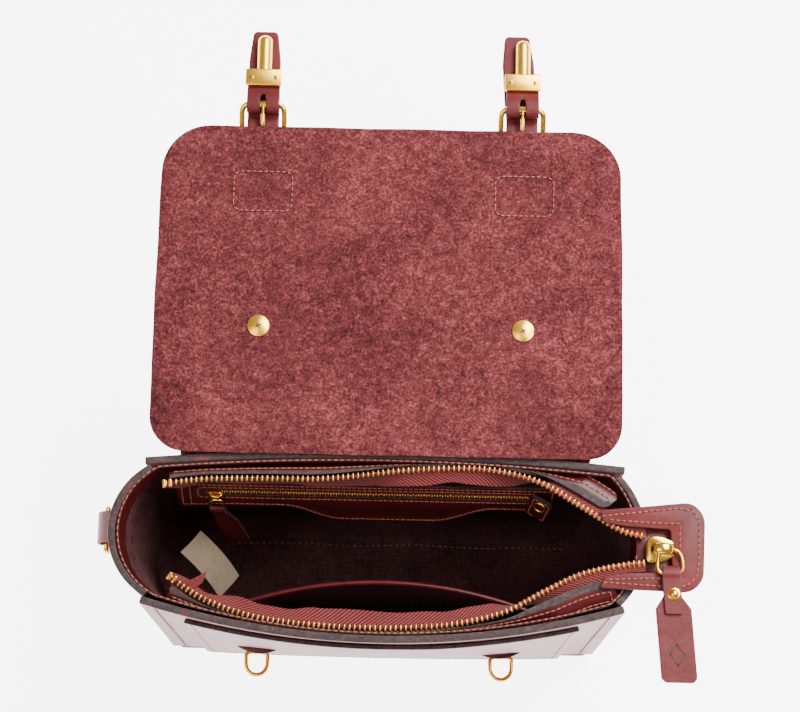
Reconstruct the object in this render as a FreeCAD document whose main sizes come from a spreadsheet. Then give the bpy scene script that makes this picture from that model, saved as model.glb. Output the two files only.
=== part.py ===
import FreeCAD, Part
import math
import os
import Sketcher
from FreeCAD import Placement, Rotation, Vector

# Satchel bag, open, with its flap laid back level with the rim.
# Millimetres. Origin at the centre of the base's underside, +Z up, front of the bag at -Y.

driving = {
    "bagHeight": 190, "wall": 3.6, "baseThick": 5, "fit": 0.3,
    "lowHalfWidth": 128, "lowFront": -43, "lowFrontMid": -44.5, "lowBack": 43, "lowBackMid": 45,
    "lowSide": 131,
    "highHalfWidth": 130.5, "highFront": -38, "highFrontMid": -56.5, "highBack": 44, "highBackMid": 50,
    "highLeft": -152, "highRight": 146.5, "rightDrop": 7,
    "flapWidth": 261, "flapThick": 2.2, "hingeY": 52, "hingeRise": 3.2, "flapUnder": 1.4,
    "foldY": 164.2, "flapEdgeY": 235.5, "flapCorner": 27, "nearCorner": 18,
    "strapWidth": 18, "strapThick": 2.3, "strapX": 74, "strapStartY": 112, "flexY": 229.5,
    "strapTipY": 293, "strapTip": 14,
    "keeperWidth": 36, "keeperLength": 26, "keeperY": 196.8, "keeperThick": 1.5,
    "studY": 118.5, "studRadius": 6.2, "studThick": 1.2,
    "buckleWidth": 27.8, "buckleWire": 3.4, "buckleNearY": 232.3, "heelY": 248.3, "heelRise": 5,
    "nearRise": -3.4,
    "pegRadius": 4.3, "pegRise": 6.1, "pegStartY": 258.8, "pegTipY": 291.5, "plateWidth": 20.5,
    "plateLength": 9.4,
    "eyeHeight": 67, "eyeY": -57.6, "eyeHole": 5.2, "eyeOuter": 7.4, "eyeThick": 2.2, "eyePivotY": -52.7,
    "tabStartX": 119, "tabEndX": 177, "tabWidth": 49, "tabThick": 3.2, "tabCorner": 9, "slotWidth": 28,
    "slotEndX": 161,
    "sliderX": 152, "sliderY": -2, "sliderLength": 14, "sliderWidth": 14, "bailRise": 3.3, "bailX": 157,
    "bailWidth": 15, "bailLength": 13, "bailWire": 1.9, "pullLength": 60, "pullWidth": 21, "pullNeck": 9,
    "pullThick": 3.4, "chainWidth": 5, "chainThick": 2.4, "pocketTopDrop": 12, "pocketHalfWidth": 109,
    "facingWidth": 214, "facingHeight": 44, "facingX": -10, "facingTopY": 34, "facingTopDrop": 18,
    "facingLean": 19,
    "innerZipLength": 184, "innerZipY": 11, "slipHalfWidth": 95, "slipTopDrop": 32, "slipBulge": -20,
    "loopWidth": 17, "loopHeight": 24, "loopProud": 6, "loopY": 7, "ringBar": 24, "ringWire": 2.6,
    "ringDrop": 8,
}

doc = FreeCAD.newDocument("Satchel")
sheet = doc.addObject("Spreadsheet::Sheet", "sheet")
for row, (alias, value) in enumerate(driving.items(), 1):
    sheet.set(f"A{row}", alias)
    sheet.set(f"B{row}", str(value))
    sheet.setAlias(f"B{row}", alias)
doc.recompute()
dim = {alias: float(sheet.get(alias)) for alias in driving}
rim = dim["bagHeight"]
subParts = []


# ---- building helpers ----

def onSheet(text):
    """An expression with every driving dimension's name pointed at the sheet."""
    words = text.replace("(", " ( ").replace(")", " ) ").split()
    return " ".join("sheet." + word if word in driving else word for word in words)


def bind(thing, **expressions):
    """Bind properties to the sheet. A double underscore in a name stands for a dot."""
    for prop, text in expressions.items():
        thing.setExpression(prop.replace("__", "."), onSheet(text))


def keep(thing, name):
    thing.Label = name
    subParts.append(thing)
    return thing


def place(thing, x="0", y="0", z="0", turn=None):
    if turn:
        thing.Placement = Placement(Vector(), turn)
    bind(thing, Placement__Base__x=x, Placement__Base__y=y, Placement__Base__z=z)
    return thing


def newBody(name):
    return keep(doc.addObject("PartDesign::Body", name), name)


def newSketch(body, tag, role="XY_Plane", height=None):
    sketch = body.newObject("Sketcher::SketchObject", f"{body.Name}_{tag}")
    plane = next(f for f in body.Origin.OriginFeatures if f.Role == role)
    sketch.AttachmentSupport = (plane, [""])
    sketch.MapMode = "FlatFace"
    if height:
        bind(sketch, AttachmentOffset__Base__z=height)
    return sketch


def pad(body, sketch, length, midplane=False):
    made = body.newObject("PartDesign::Pad", f"{body.Name}_pad")
    made.Profile = sketch
    made.SideType = "Symmetric" if midplane else "One side"
    bind(made, Length=length)
    return made


def pocketThrough(body, sketch):
    made = body.newObject("PartDesign::Pocket", f"{body.Name}_pocket")
    made.Profile = sketch
    made.Type = "ThroughAll"
    made.SideType = "Symmetric"
    return made


def rectangle(sketch, width, length, x="0", y="0"):
    """A rectangle held by its own width, length and lower left corner, all bound to the sheet."""
    corners = [Vector(-1, -1, 0), Vector(1, -1, 0), Vector(1, 1, 0), Vector(-1, 1, 0)]
    first = sketch.GeometryCount
    for a, b in zip(corners, corners[1:] + corners[:1]):
        sketch.addGeometry(Part.LineSegment(a, b))
    for side in range(4):
        sketch.addConstraint(Sketcher.Constraint("Coincident", first + side, 2, first + (side + 1) % 4, 1))
        straight = "Vertical" if side % 2 else "Horizontal"
        sketch.addConstraint(Sketcher.Constraint(straight, first + side))
    bounds = {
        "DistanceX": (width, f"{x} - ({width}) / 2"),
        "DistanceY": (length, f"{y} - ({length}) / 2"),
    }
    for kind, (size, low) in bounds.items():
        side = first if kind == "DistanceX" else first + 1
        at = sketch.addConstraint(Sketcher.Constraint(kind, side, 1, side, 2, 2.0))
        sketch.setExpression(f"Constraints[{at}]", onSheet(size))
        at = sketch.addConstraint(Sketcher.Constraint(kind, first, 1, -1, 1, 1.0))
        sketch.setExpression(f"Constraints[{at}]", onSheet(f"0 - ({low})"))


def outline(sketch, pieces):
    """Closed outline: each piece is two points for a line, or three for an arc through them."""
    for piece in pieces:
        points = [Vector(x, y, 0) for x, y in piece]
        if len(points) == 2:
            sketch.addGeometry(Part.LineSegment(*points))
        else:
            sketch.addGeometry(Part.Arc(*points))


def roundUpright(body, made, radius, chosen=lambda point: True):
    doc.recompute()
    names = [
        f"Edge{number}" for number, edge in enumerate(made.Shape.Edges, 1)
        if abs(edge.tangentAt(edge.FirstParameter).z) > 0.99 and chosen(edge.CenterOfMass)
    ]
    rounding = body.newObject("PartDesign::Fillet", f"{body.Name}_round")
    rounding.Base = (made, names)
    bind(rounding, Radius=radius)
    return rounding


def slab(name, width, length, thick, x="0", y="0", z="0", radius=None, turn=None, chosen=lambda point: True):
    """A plate lying flat: z is its underside. Turned plates turn about that point."""
    body = newBody(name)
    flat = newSketch(body, "outline")
    rectangle(flat, width, length)
    made = pad(body, flat, thick)
    if radius:
        roundUpright(body, made, radius, chosen)
    return place(body, x, y, z, turn)


def drawn(name, pieces, thick, x="0", y="0", z="0", turn=None, role="XY_Plane", midplane=False):
    body = newBody(name)
    flat = newSketch(body, "outline", role)
    outline(flat, pieces)
    pad(body, flat, thick, midplane)
    return place(body, x, y, z, turn)


def box(name, width, length, height, x, y, z):
    made = doc.addObject("Part::Box", name)
    bind(made, Width=length, Length=width, Height=height)
    return place(made, f"{x} - ({width}) / 2", f"{y} - ({length}) / 2", z)


def rod(name, radius, length, x, y, z, direction):
    made = doc.addObject("Part::Cylinder", name)
    bind(made, Radius=radius, Height=length)
    return place(made, x, y, z, Rotation(Vector(0, 0, 1), direction))


def fuse(name, things):
    made = doc.addObject("Part::MultiFuse", name)
    made.Shapes = things
    return made


def cut(name, base, tool):
    made = doc.addObject("Part::Cut", name)
    made.Base = base
    made.Tool = tool
    return made


# ---- plan of the walls at any height ----

def between(low, high, z):
    return dim[low] + (dim[high] - dim[low]) * z / rim


def wallY(side, x, z):
    """Outer face of the front or back wall: an arc from corner to corner, deepest in the middle."""
    half = between("lowHalfWidth", "highHalfWidth", z)
    corner = between(f"low{side}", f"high{side}", z)
    middle = between(f"low{side}Mid", f"high{side}Mid", z)
    bow = middle - corner
    radius = (half * half + bow * bow) / (2 * abs(bow))
    return middle - math.copysign(radius - math.sqrt(radius * radius - x * x), bow)


def sideX(side, z):
    away = {"Left": -dim["lowSide"], "Right": dim["lowSide"]}[side]
    return away + (dim[f"high{side}"] - away) * z / rim


def wallBand(name, side, halfWidth, gap, thick, lowZ, highZ):
    """A strip of wall that stands off the outer face of the front or back wall by gap."""
    out = -1 if side == "Front" else 1
    body = newBody(name)
    sections = []
    for tag, z in (("low", lowZ), ("high", highZ)):
        half = min(halfWidth, between("lowHalfWidth", "highHalfWidth", z))
        near = [(x, wallY(side, x, z) + out * gap) for x in (-half, 0, half)]
        far = [(x, y + out * thick) for x, y in near]
        section = newSketch(body, tag, height=f"{z}")
        outline(section, [near, (near[2], far[2]), far[::-1], (far[0], near[0])])
        sections.append(section)
    return loft(body, sections)


def loft(body, sections, kind="Additive"):
    made = body.newObject(f"PartDesign::{kind}Loft", f"{body.Name}_{kind}")
    made.Profile = sections[0]
    made.Sections = [sections[1]]
    made.Ruled = True
    return body


def gusset(name, side, topZ):
    body = newBody(name)
    sign = -1 if side == "Left" else 1
    sections = []
    for tag, z in (("low", dim["baseThick"]), ("high", topZ)):
        half = between("lowHalfWidth", "highHalfWidth", z)
        inset = dim["wall"] + dim["fit"]
        front = between("lowFront", "highFront", z) + inset
        back = between("lowBack", "highBack", z) - inset
        outer = [(sign * half, front), (sideX(side, z), (front + back) / 2), (sign * half, back)]
        inner = [(x - sign * dim["wall"], y) for x, y in outer]
        section = newSketch(body, tag, height=f"{z}")
        outline(section, [outer, (outer[2], inner[2]), inner[::-1], (inner[0], outer[0])])
        sections.append(section)
    return loft(body, sections)


def ringOutline(z, inset):
    """Closed plan outline inside the walls, as four arcs that meet in the corners."""
    half = between("lowHalfWidth", "highHalfWidth", z) - inset
    front = between("lowFront", "highFront", z) + inset
    back = between("lowBack", "highBack", z) - inset
    middle = (front + back) / 2
    frontMid = between("lowFrontMid", "highFrontMid", z) + inset
    backMid = between("lowBackMid", "highBackMid", z) - inset
    left, right = sideX("Left", z) + inset, sideX("Right", z) - inset
    return [
        ((-half, front), (0, frontMid), (half, front)),
        ((half, front), (right, middle), (half, back)),
        ((half, back), (0, backMid), (-half, back)),
        ((-half, back), (left, middle), (-half, front)),
    ]


def innerShell(name, inset, thick, lowZ, highZ, floor):
    """A skin that lines all four walls, with a floor of its own where floor is not zero."""
    body = newBody(name)
    for kind, offset, startZ in (("Additive", inset, lowZ), ("Subtractive", inset + thick, lowZ + floor)):
        pair = []
        for tag, z in (("low", startZ), ("high", highZ)):
            section = newSketch(body, kind + tag, height=f"{z}")
            outline(section, ringOutline(z, offset))
            pair.append(section)
        loft(body, pair, kind)
    return body


# ---- zip rows: plan points of the two open edges of the mouth, left to right ----

frontRow = [(-117, -22), (-100, -33), (-77, -41.5), (-50, -46), (-10, -48), (32, -46), (65, -38.5),
            (87, -27), (108, -16.5), (130, -11), (144, -9)]
backRow = [(-122, 29), (-100, 32), (-70, 33), (-36, 33.5), (-12, 36), (10, 39), (40, 41), (62, 40),
           (86, 34), (108, 21.5), (130, 8.5), (144, 5)]


def rowSpline(points, offset):
    """A smooth line beside the row, offset towards the wall (positive) or the mouth (negative)."""
    places = []
    for number, (x, y) in enumerate(points):
        before, after = points[max(number - 1, 0)], points[min(number + 1, len(points) - 1)]
        along = Vector(after[0] - before[0], after[1] - before[1], 0).normalize()
        places.append(Vector(x, y, 0) + Vector(along.y, -along.x, 0) * offset)
    curve = Part.BSplineCurve()
    curve.interpolate(places)
    return curve, places


def rowStrip(name, points, nearOffset, farOffset, lowZ, height):
    near, nearPoints = rowSpline(points, nearOffset)
    far, farPoints = rowSpline(points, farOffset)
    body = newBody(name)
    plan = newSketch(body, "plan", height=lowZ)
    for geometry in (near, far):
        plan.addGeometry(geometry)
    for end in (0, -1):
        plan.addGeometry(Part.LineSegment(nearPoints[end], farPoints[end]))
    pad(body, plan, height)
    return body


# ---- the bag ----

def buildShell():
    slab("base_panel", "lowSide * 2", "90", "baseThick", radius="6")
    slab("base_board", "242", "70", "3", z="baseThick", radius="4")
    wallBand("front_panel", "Front", 999, -dim["wall"], dim["wall"], dim["baseThick"], rim)
    wallBand("back_panel", "Back", 999, -dim["wall"], dim["wall"], dim["baseThick"], rim)
    gusset("gusset_left", "Left", rim)
    gusset("gusset_right", "Right", rim - dim["rightDrop"])
    wallBand("front_pocket", "Front", dim["pocketHalfWidth"], 0.3, 2.4, 8, rim - dim["pocketTopDrop"])
    wallBand("flap_base", "Back", 126, 0, 1.8, 110, rim - 0.5)
    innerShell("lining", 4.1, 1, 8.2, rim - 20.5, 1)
    innerShell("rim_facing", 3.9, 1.6, rim - 20, rim - 7.5, 0)


def buildZip():
    for name, points, out in (("front", frontRow, 1), ("back", backRow, -1)):
        half = dim["chainWidth"] / 2
        rowStrip(f"zip_chain_{name}", points, -half, half, "bagHeight - 2.8", "chainThick")
        rowStrip(f"zip_tape_{name}", points[:-1], -0.4, 0.4, "bagHeight - 13", "10")
        rowStrip(f"placket_{name}", points[1:-2], out * 0.7, out * 2.1, "bagHeight - 16", "12.8")


def buildEndTab():
    middle = (dim["tabStartX"] + dim["tabEndX"]) / 2
    body = newBody("zip_end_tab")
    flat = newSketch(body, "outline")
    rectangle(flat, "tabEndX - tabStartX", "tabWidth", x="(tabStartX + tabEndX) / 2", y="-0.5")
    made = pad(body, flat, "tabThick")
    roundUpright(body, made, "tabCorner", lambda point: point.x > middle)
    slot = newSketch(body, "slot")
    rectangle(slot, "slotEndX - tabStartX + 10", "slotWidth", x="(tabStartX - 10 + slotEndX) / 2", y="-1")
    pocketThrough(body, slot)
    place(body, z="bagHeight - 2.8")


def buildInterior():
    turn = Rotation(Vector(1, 0, 0), 90 - dim["facingLean"])
    lean = math.radians(dim["facingLean"])
    half = dim["facingHeight"] / 2
    centre = (f"facingTopY - {half * math.sin(lean):.4f}",
              f"bagHeight - facingTopDrop - {half * math.cos(lean):.4f}")
    body = newBody("inner_pocket_facing")
    flat = newSketch(body, "outline")
    rectangle(flat, "facingWidth", "facingHeight")
    roundUpright(body, pad(body, flat, "1.4"), "5")
    slot = newSketch(body, "slot")
    rectangle(slot, "innerZipLength + 0.6", "6", y="innerZipY")
    pocketThrough(body, slot)
    place(body, "facingX", *centre, turn)
    up, out = Vector(0, math.sin(lean), math.cos(lean)), Vector(0, -math.cos(lean), math.sin(lean))

    def onFacing(along, proud):
        shift = up * along + out * proud
        return f"{centre[0]} + ({shift.y:.4f})", f"{centre[1]} + ({shift.z:.4f})"

    slab("inner_zip", "innerZipLength", "5.4", "1", "facingX", *onFacing(dim["innerZipY"], 0.2), turn=turn)
    start = "facingX - innerZipLength / 2 + 7"
    slab("inner_slider", "8", "8", "2.6", start, *onFacing(dim["innerZipY"], 1.7), radius="2", turn=turn)
    slab("inner_pull", "9", "36", "2", start, *onFacing(dim["innerZipY"] - 23, 2.2), radius="3", turn=turn)
    slab("inner_pocket_bag", "196", "88", "1.6", "facingX", "38.4", "bagHeight - 66",
         turn=Rotation(Vector(1, 0, 0), 90))
    slab("key_tab", "13", "24", "2.4", "88", "26.5", "bagHeight - 34", radius="3",
         turn=Rotation(Vector(0, 0, 1), -28) * Rotation(Vector(1, 0, 0), 90))
    slab("care_label", "20", "30", "0.5", "-104", "-2", "bagHeight - 52", radius="0.5",
         turn=Rotation(Vector(0, 0, 1), -25) * Rotation(Vector(1, 0, 0), 40))


def buildSlipPocket():
    half, bulge = dim["slipHalfWidth"], dim["slipBulge"]
    lowZ, topZ = 25, rim - dim["slipTopDrop"]

    def section(body, tag, z, middle, thick):
        corner = wallY("Front", half, z) + dim["wall"] + 2.2
        near = [(-half, corner), (0, middle), (half, corner)]
        far = [(x, y + thick) for x, y in near]
        flat = newSketch(body, tag, height=f"{z}")
        outline(flat, [near, (near[2], far[2]), far[::-1], (far[0], near[0])])
        return flat

    body = newBody("slip_pocket")
    loft(body, [section(body, "low", lowZ, -38.4, 1.2), section(body, "high", topZ, bulge, 1.2)])
    body = newBody("slip_pocket_binding")
    loft(body, [section(body, "low", topZ, bulge, 2.6), section(body, "high", topZ + 5, bulge, 2.6)])


def buildSideLoops():
    for name, side, sign in (("left", "Left", -1), ("right", "Right", 1)):
        z = rim - 26
        face = sideX(side, z) + sign * 1.3
        profile = [(0, -12), (6, -8), (6, 8), (0, 12)]
        block = drawn(f"side_loop_{name}", [pair for pair in zip(profile, profile[1:] + profile[:1])],
                      "loopWidth", x=f"{face}", y="loopY", z=f"{z}", midplane=True,
                      turn=Rotation(Vector(0, 0, 1), 0 if sign > 0 else 180) * Rotation(Vector(1, 0, 0), 90))
        bore = newSketch(block, "bore")
        bore.addGeometry(Part.Circle(Vector(3, -2, 0), Vector(0, 0, 1), dim["ringWire"] / 2 + 0.35))
        pocketThrough(block, bore)
        barX, barZ = face + sign * 3, z - 2
        halfBar = dim["ringBar"] / 2
        bar = rod(f"ring_bar_{name}", "ringWire / 2", "ringBar", f"{barX}", "loopY - ringBar / 2", f"{barZ}",
                  Vector(0, 1, 0))
        bow = doc.addObject("Part::Torus", f"ring_bow_{name}")
        bind(bow, Radius1="ringBar / 2", Radius2="ringWire / 2")
        bow.Angle3 = 180
        place(bow, f"{barX}", "loopY", f"{barZ} - ringDrop",
              Rotation(Vector(0, 0, 1), 90) * Rotation(Vector(1, 0, 0), -90))
        arms = [
            rod(f"ring_arm_{name}_{tag}", "ringWire / 2", "ringDrop", f"{barX}", f"loopY + ({end * halfBar})",
                f"{barZ} - ringDrop", Vector(0, 0, 1))
            for tag, end in (("a", -1), ("b", 1))
        ]
        keep(fuse(f"d_ring_{name}", [bar, bow, *arms]), f"d_ring_{name}")


def buildEyes():
    for name, sign in (("left", -1), ("right", 1)):
        x = sign * dim["strapX"]
        profile = [(-53.2, 1.7), (-53.2, 11), (-50.3, 11), (-50.3, -10), (-52.5, -10), (-52.5, -2.7), (-51, -2.7),
                   (-51, 1.7)]
        drawn(f"eye_tab_{name}", [pair for pair in zip(profile, profile[1:] + profile[:1])], "23",
              x=f"{x}", z="eyeHeight", role="YZ_Plane", midplane=True)
        body = newBody(f"eye_{name}")
        flat = newSketch(body, "outline")
        outer, back, centre = dim["eyeOuter"], dim["eyePivotY"] + 1.1, dim["eyeY"]
        outline(flat, [
            ((-outer, centre), (0, centre - outer), (outer, centre)),
            ((outer, centre), (outer, back)), ((outer, back), (-outer, back)), ((-outer, back), (-outer, centre)),
        ])
        pad(body, flat, "eyeThick", midplane=True)
        hole = newSketch(body, "hole")
        hole.addGeometry(Part.Circle(Vector(0, centre, 0), Vector(0, 0, 1), dim["eyeHole"]))
        pocketThrough(body, hole)
        place(body, f"{x}", "0", "eyeHeight")


# ---- the flap and what is on it ----

def buildFlap():
    under = "bagHeight + flapUnder"
    slab("flap_top", "flapWidth", "foldY - hingeY - 0.6", "flapThick",
         y="(foldY + hingeY + 0.2) / 2", z=under, radius="nearCorner", chosen=lambda point: point.y < 0)
    slab("flap_front", "flapWidth", "flapEdgeY - foldY - 0.2", "flapThick",
         y="(flapEdgeY + foldY + 0.2) / 2", z=under, radius="flapCorner", chosen=lambda point: point.y > 0)
    studs = [
        rod(f"stud_{name}", "studRadius", "studThick", f"{sign} * strapX", "studY", f"{under} + flapThick",
            Vector(0, 0, 1))
        for name, sign in (("left", -1), ("right", 1))
    ]
    keep(fuse("flap_studs", studs), "flap_studs")


def buildStraps():
    under = "bagHeight + flapUnder - strapThick"
    for name, sign in (("left", -1), ("right", 1)):
        x = f"{sign} * strapX"
        slab(f"strap_upper_{name}", "strapWidth", "foldY - 0.4 - strapStartY", "strapThick", x,
             "(foldY - 0.4 + strapStartY) / 2", under, radius="5", chosen=lambda point: point.y < 0)
        slab(f"strap_middle_{name}", "strapWidth", "flexY - foldY - 0.7", "strapThick", x,
             "(flexY + foldY + 0.3) / 2", under)
        startY, tipY = dim["flexY"] + 0.2, dim["strapTipY"]
        half, tip = dim["strapWidth"] / 2, dim["strapTip"] / 2
        shoulder = tipY - 15
        tail = [(-half, startY), (half, startY), (half, shoulder), (tip, tipY), (-tip, tipY), (-half, shoulder)]
        drawn(f"strap_tail_{name}", [pair for pair in zip(tail, tail[1:] + tail[:1])], "strapThick", x, z=under)
        patch = newBody(f"keeper_{name}")
        flat = newSketch(patch, "outline")
        rectangle(flat, "keeperWidth", "keeperLength")
        roundUpright(patch, pad(patch, flat, "strapThick + keeperThick"), "5")
        tunnel = newSketch(patch, "tunnel", "XZ_Plane")
        rectangle(tunnel, "strapWidth + 0.4", "strapThick + 0.4", y="keeperThick + strapThick / 2 + 0.1")
        pocketThrough(patch, tunnel)
        place(patch, x, "keeperY", f"{under} - keeperThick")


def buildBuckles():
    rise = dim["heelRise"] - dim["nearRise"]
    reach = dim["heelY"] - dim["buckleNearY"]
    slope = math.degrees(math.atan2(rise, reach))
    lengthwise = math.hypot(rise, reach)
    for name, sign in (("left", -1), ("right", 1)):
        x = f"{sign} * strapX"
        frame = newBody(f"buckle_frame_{name}")
        flat = newSketch(frame, "outline")
        rectangle(flat, "buckleWidth", f"{lengthwise:.4f} + buckleWire")
        outer = roundUpright(frame, pad(frame, flat, "buckleWire", midplane=True), "4.5")
        window = newSketch(frame, "window")
        rectangle(window, "buckleWidth - 2 * buckleWire", f"{lengthwise:.4f} - buckleWire")
        pocketThrough(frame, window)
        place(frame, x, "(buckleNearY + heelY) / 2", "bagHeight + (nearRise + heelRise) / 2",
              Rotation(Vector(1, 0, 0), slope))
        buildChape(name, x)
        shank = rod(f"prong_shank_{name}", "1.2", "10.8", x, "heelY - 1.6", "bagHeight + heelRise",
                    Vector(0, -1, -0.16))
        collar = rod(f"prong_collar_{name}", "3.2", "4", f"{x} - 2", "heelY", "bagHeight + heelRise", Vector(1, 0, 0))
        bore = rod(f"prong_bore_{name}", "buckleWire / 2 + 0.75", "6", f"{x} - 3", "heelY", "bagHeight + heelRise",
                   Vector(1, 0, 0))
        keep(cut(f"prong_{name}", fuse(f"prong_solid_{name}", [shank, collar]), bore), f"prong_{name}")


def buildChape(name, x):
    """Leather folded round the heel bar, with a slot for the prong, and the plate and peg it carries."""
    curlZ = "bagHeight + heelRise"
    leaves = box(f"chape_leaf_{name}", "18.6", "20", "1.9", x, "heelY + 11.6", "bagHeight + 1.6")
    curl = rod(f"chape_curl_{name}", "3.4", "18.6", f"{x} - 9.3", "heelY", curlZ, Vector(1, 0, 0))
    bore = rod(f"chape_bore_{name}", "2.45", "20", f"{x} - 10", "heelY", curlZ, Vector(1, 0, 0))
    slot = box(f"chape_slot_{name}", "5", "12", "9", x, "heelY", f"{curlZ} - 4")
    joined = fuse(f"chape_solid_{name}", [leaves, curl])
    keep(cut(f"chape_{name}", joined, fuse(f"chape_cuts_{name}", [bore, slot])), f"chape_{name}")
    plate = box(f"peg_plate_{name}", "plateWidth", "plateLength", "2", x, "pegStartY + plateLength / 2",
                "bagHeight + 3.5")
    stem = rod(f"peg_stem_{name}", "pegRadius", "pegTipY - pegStartY - plateLength - 3.9", x,
               "pegStartY + plateLength - 0.4", "bagHeight + pegRise", Vector(0, 1, 0))
    dome = doc.addObject("Part::Sphere", f"peg_dome_{name}")
    bind(dome, Radius="pegRadius")
    place(dome, x, "pegTipY - pegRadius", "bagHeight + pegRise")
    under = box(f"peg_under_{name}", "30", "40", "6", x, "pegStartY + 20", "bagHeight - 2.2")
    cast = fuse(f"peg_cast_{name}", [plate, stem, dome])
    keep(cut(f"peg_{name}", cast, under), f"peg_{name}")
    screws = [
        rod(f"screw_{name}_{tag}", "1.3", "0.6", f"{x} + ({shift})", "pegStartY + plateLength / 2", "bagHeight + 5.5",
            Vector(0, 0, 1))
        for tag, shift in (("a", -7), ("b", 7))
    ]
    keep(fuse(f"peg_screws_{name}", screws), f"peg_screws_{name}")


# ---- the main zip's slider, bail and leather pull ----

def buildSlider():
    plates = [
        box("slider_top", "sliderLength", "sliderWidth", "1.5", "sliderX", "sliderY", "bagHeight + 0.1"),
        box("slider_bottom", "sliderLength", "sliderWidth", "1.5", "sliderX", "sliderY", "bagHeight - 4.8"),
        box("slider_wedge", "4", "5", "4", "sliderX - 4", "sliderY", "bagHeight - 3.6"),
        box("crown_near", "3", "1.6", "4.6", "bailX - 3", "sliderY - 3.4", "bagHeight + 1.2"),
        box("crown_far", "3", "1.6", "4.6", "bailX - 3", "sliderY + 3.4", "bagHeight + 1.2"),
        box("crown_bridge", "3", "8.4", "1.2", "bailX - 3", "sliderY", "bagHeight + 5"),
    ]
    keep(fuse("zip_slider", plates), "zip_slider")
    body = newBody("slider_bail")
    flat = newSketch(body, "outline")
    rectangle(flat, "bailWidth + bailWire", "bailLength + bailWire")
    roundUpright(body, pad(body, flat, "bailWire", midplane=True), "3")
    window = newSketch(body, "window")
    rectangle(window, "bailWidth - bailWire", "bailLength - bailWire")
    pocketThrough(body, window)
    place(body, "bailX", "sliderY - bailLength / 2", "bagHeight + bailRise")


def buildPull():
    neck, half, length = dim["pullNeck"] / 2, dim["pullWidth"] / 2, dim["pullLength"]
    side = [(neck, 3), (neck, -12), (half, -19), (half - 1, -length + 3), (half - 4, -length)]
    points = side + [(-x, y) for x, y in reversed(side)]
    blank = drawn("pull_blank", [pair for pair in zip(points, points[1:] + points[:1])], "pullThick",
                  "bailX + 1", "sliderY - bailLength", "bagHeight + bailRise", midplane=True)
    subParts.remove(blank)
    bore = rod("pull_bore", "bailWire / 2 + 0.45", "20", "bailX - 10", "sliderY - bailLength", "bagHeight + bailRise",
               Vector(1, 0, 0))
    keep(cut("zip_pull", blank, bore), "zip_pull")
    head = rod("pull_stud", "3.5", "1.8", "bailX + 1", "sliderY - bailLength - 12",
               "bagHeight + bailRise + pullThick / 2", Vector(0, 0, 1))
    keep(head, "pull_stud")


for build in (buildShell, buildZip, buildEndTab, buildInterior, buildSlipPocket, buildSideLoops, buildEyes, buildFlap,
              buildStraps, buildBuckles, buildSlider, buildPull):
    build()
doc.recompute()

failed = [thing.Name for thing in doc.Objects if {"Invalid", "Error"} & set(thing.State)]
failed += [thing.Label for thing in subParts if thing.Shape.isNull() or not thing.Shape.isValid()]
if failed:
    raise RuntimeError(f"these failed to build: {failed}")
os.makedirs("parts", exist_ok=True)
for thing in subParts:
    thing.Shape.exportStep(f"parts/{thing.Label}.step")
    size = thing.Shape.BoundBox
    print(f"{thing.Label}: {len(thing.Shape.Solids)} solid, {thing.Shape.Volume / 1000:.2f} cm3, "
          f"x {size.XMin:.1f} {size.XMax:.1f}, y {size.YMin:.1f} {size.YMax:.1f}, z {size.ZMin:.1f} {size.ZMax:.1f}")
print(f"{len(subParts)} sub-parts written")
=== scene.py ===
import math

import bmesh
import bpy
import numpy as np
from mathutils import Euler, Matrix, Vector, noise


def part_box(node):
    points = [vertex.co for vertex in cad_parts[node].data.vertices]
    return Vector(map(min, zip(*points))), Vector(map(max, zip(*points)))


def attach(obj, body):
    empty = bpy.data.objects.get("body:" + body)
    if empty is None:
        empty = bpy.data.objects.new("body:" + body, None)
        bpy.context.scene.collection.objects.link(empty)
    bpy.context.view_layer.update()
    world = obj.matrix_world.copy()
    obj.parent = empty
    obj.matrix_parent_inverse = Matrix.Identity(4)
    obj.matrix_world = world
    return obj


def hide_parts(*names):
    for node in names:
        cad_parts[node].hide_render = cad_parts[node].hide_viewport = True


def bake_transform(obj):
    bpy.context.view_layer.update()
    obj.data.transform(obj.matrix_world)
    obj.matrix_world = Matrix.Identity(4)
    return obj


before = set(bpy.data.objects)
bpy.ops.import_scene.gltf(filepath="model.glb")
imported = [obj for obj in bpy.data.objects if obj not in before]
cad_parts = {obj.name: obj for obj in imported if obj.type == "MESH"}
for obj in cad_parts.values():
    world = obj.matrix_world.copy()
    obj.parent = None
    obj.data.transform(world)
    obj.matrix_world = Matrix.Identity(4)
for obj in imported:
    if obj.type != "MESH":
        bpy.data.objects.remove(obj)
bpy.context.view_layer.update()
mm = 0.001
print("stage: frame loaded")

# sizes that several pieces share, in millimetres, read from the frame where it has them

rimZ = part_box("front_panel")[1][2] / mm
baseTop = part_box("base_panel")[1][2] / mm
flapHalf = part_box("flap_top")[1][0] / mm
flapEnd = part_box("flap_front")[1][1] / mm
strapX = sum(c[0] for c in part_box("strap_tail_right")) / 2 / mm
sides = (("left", -1), ("right", 1))

walls = dict(
    lowHalf=128, highHalf=130.5, lowFront=-43, highFront=-38, lowFrontMid=-44.5, highFrontMid=-56.5,
    lowBack=43, highBack=44, lowBackMid=45, highBackMid=50, lowLeft=-131, highLeft=-152, lowRight=131,
    highRight=146.5,
    thick=4.2, gussetDip=6,
)


def level(name, z):
    low, high = walls["low" + name], walls["high" + name]
    return low + (high - low) * z / rimZ


def wallY(side, x, z):
    # outer face of the front or back wall: an arc in plan, deepest in the middle
    half, corner, middle = level("Half", z), level(side, z), level(side + "Mid", z)
    bow = middle - corner
    radius = (half * half + bow * bow) / (2 * abs(bow))
    return middle - math.copysign(radius - math.sqrt(max(radius * radius - x * x, 0)), bow)


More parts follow.
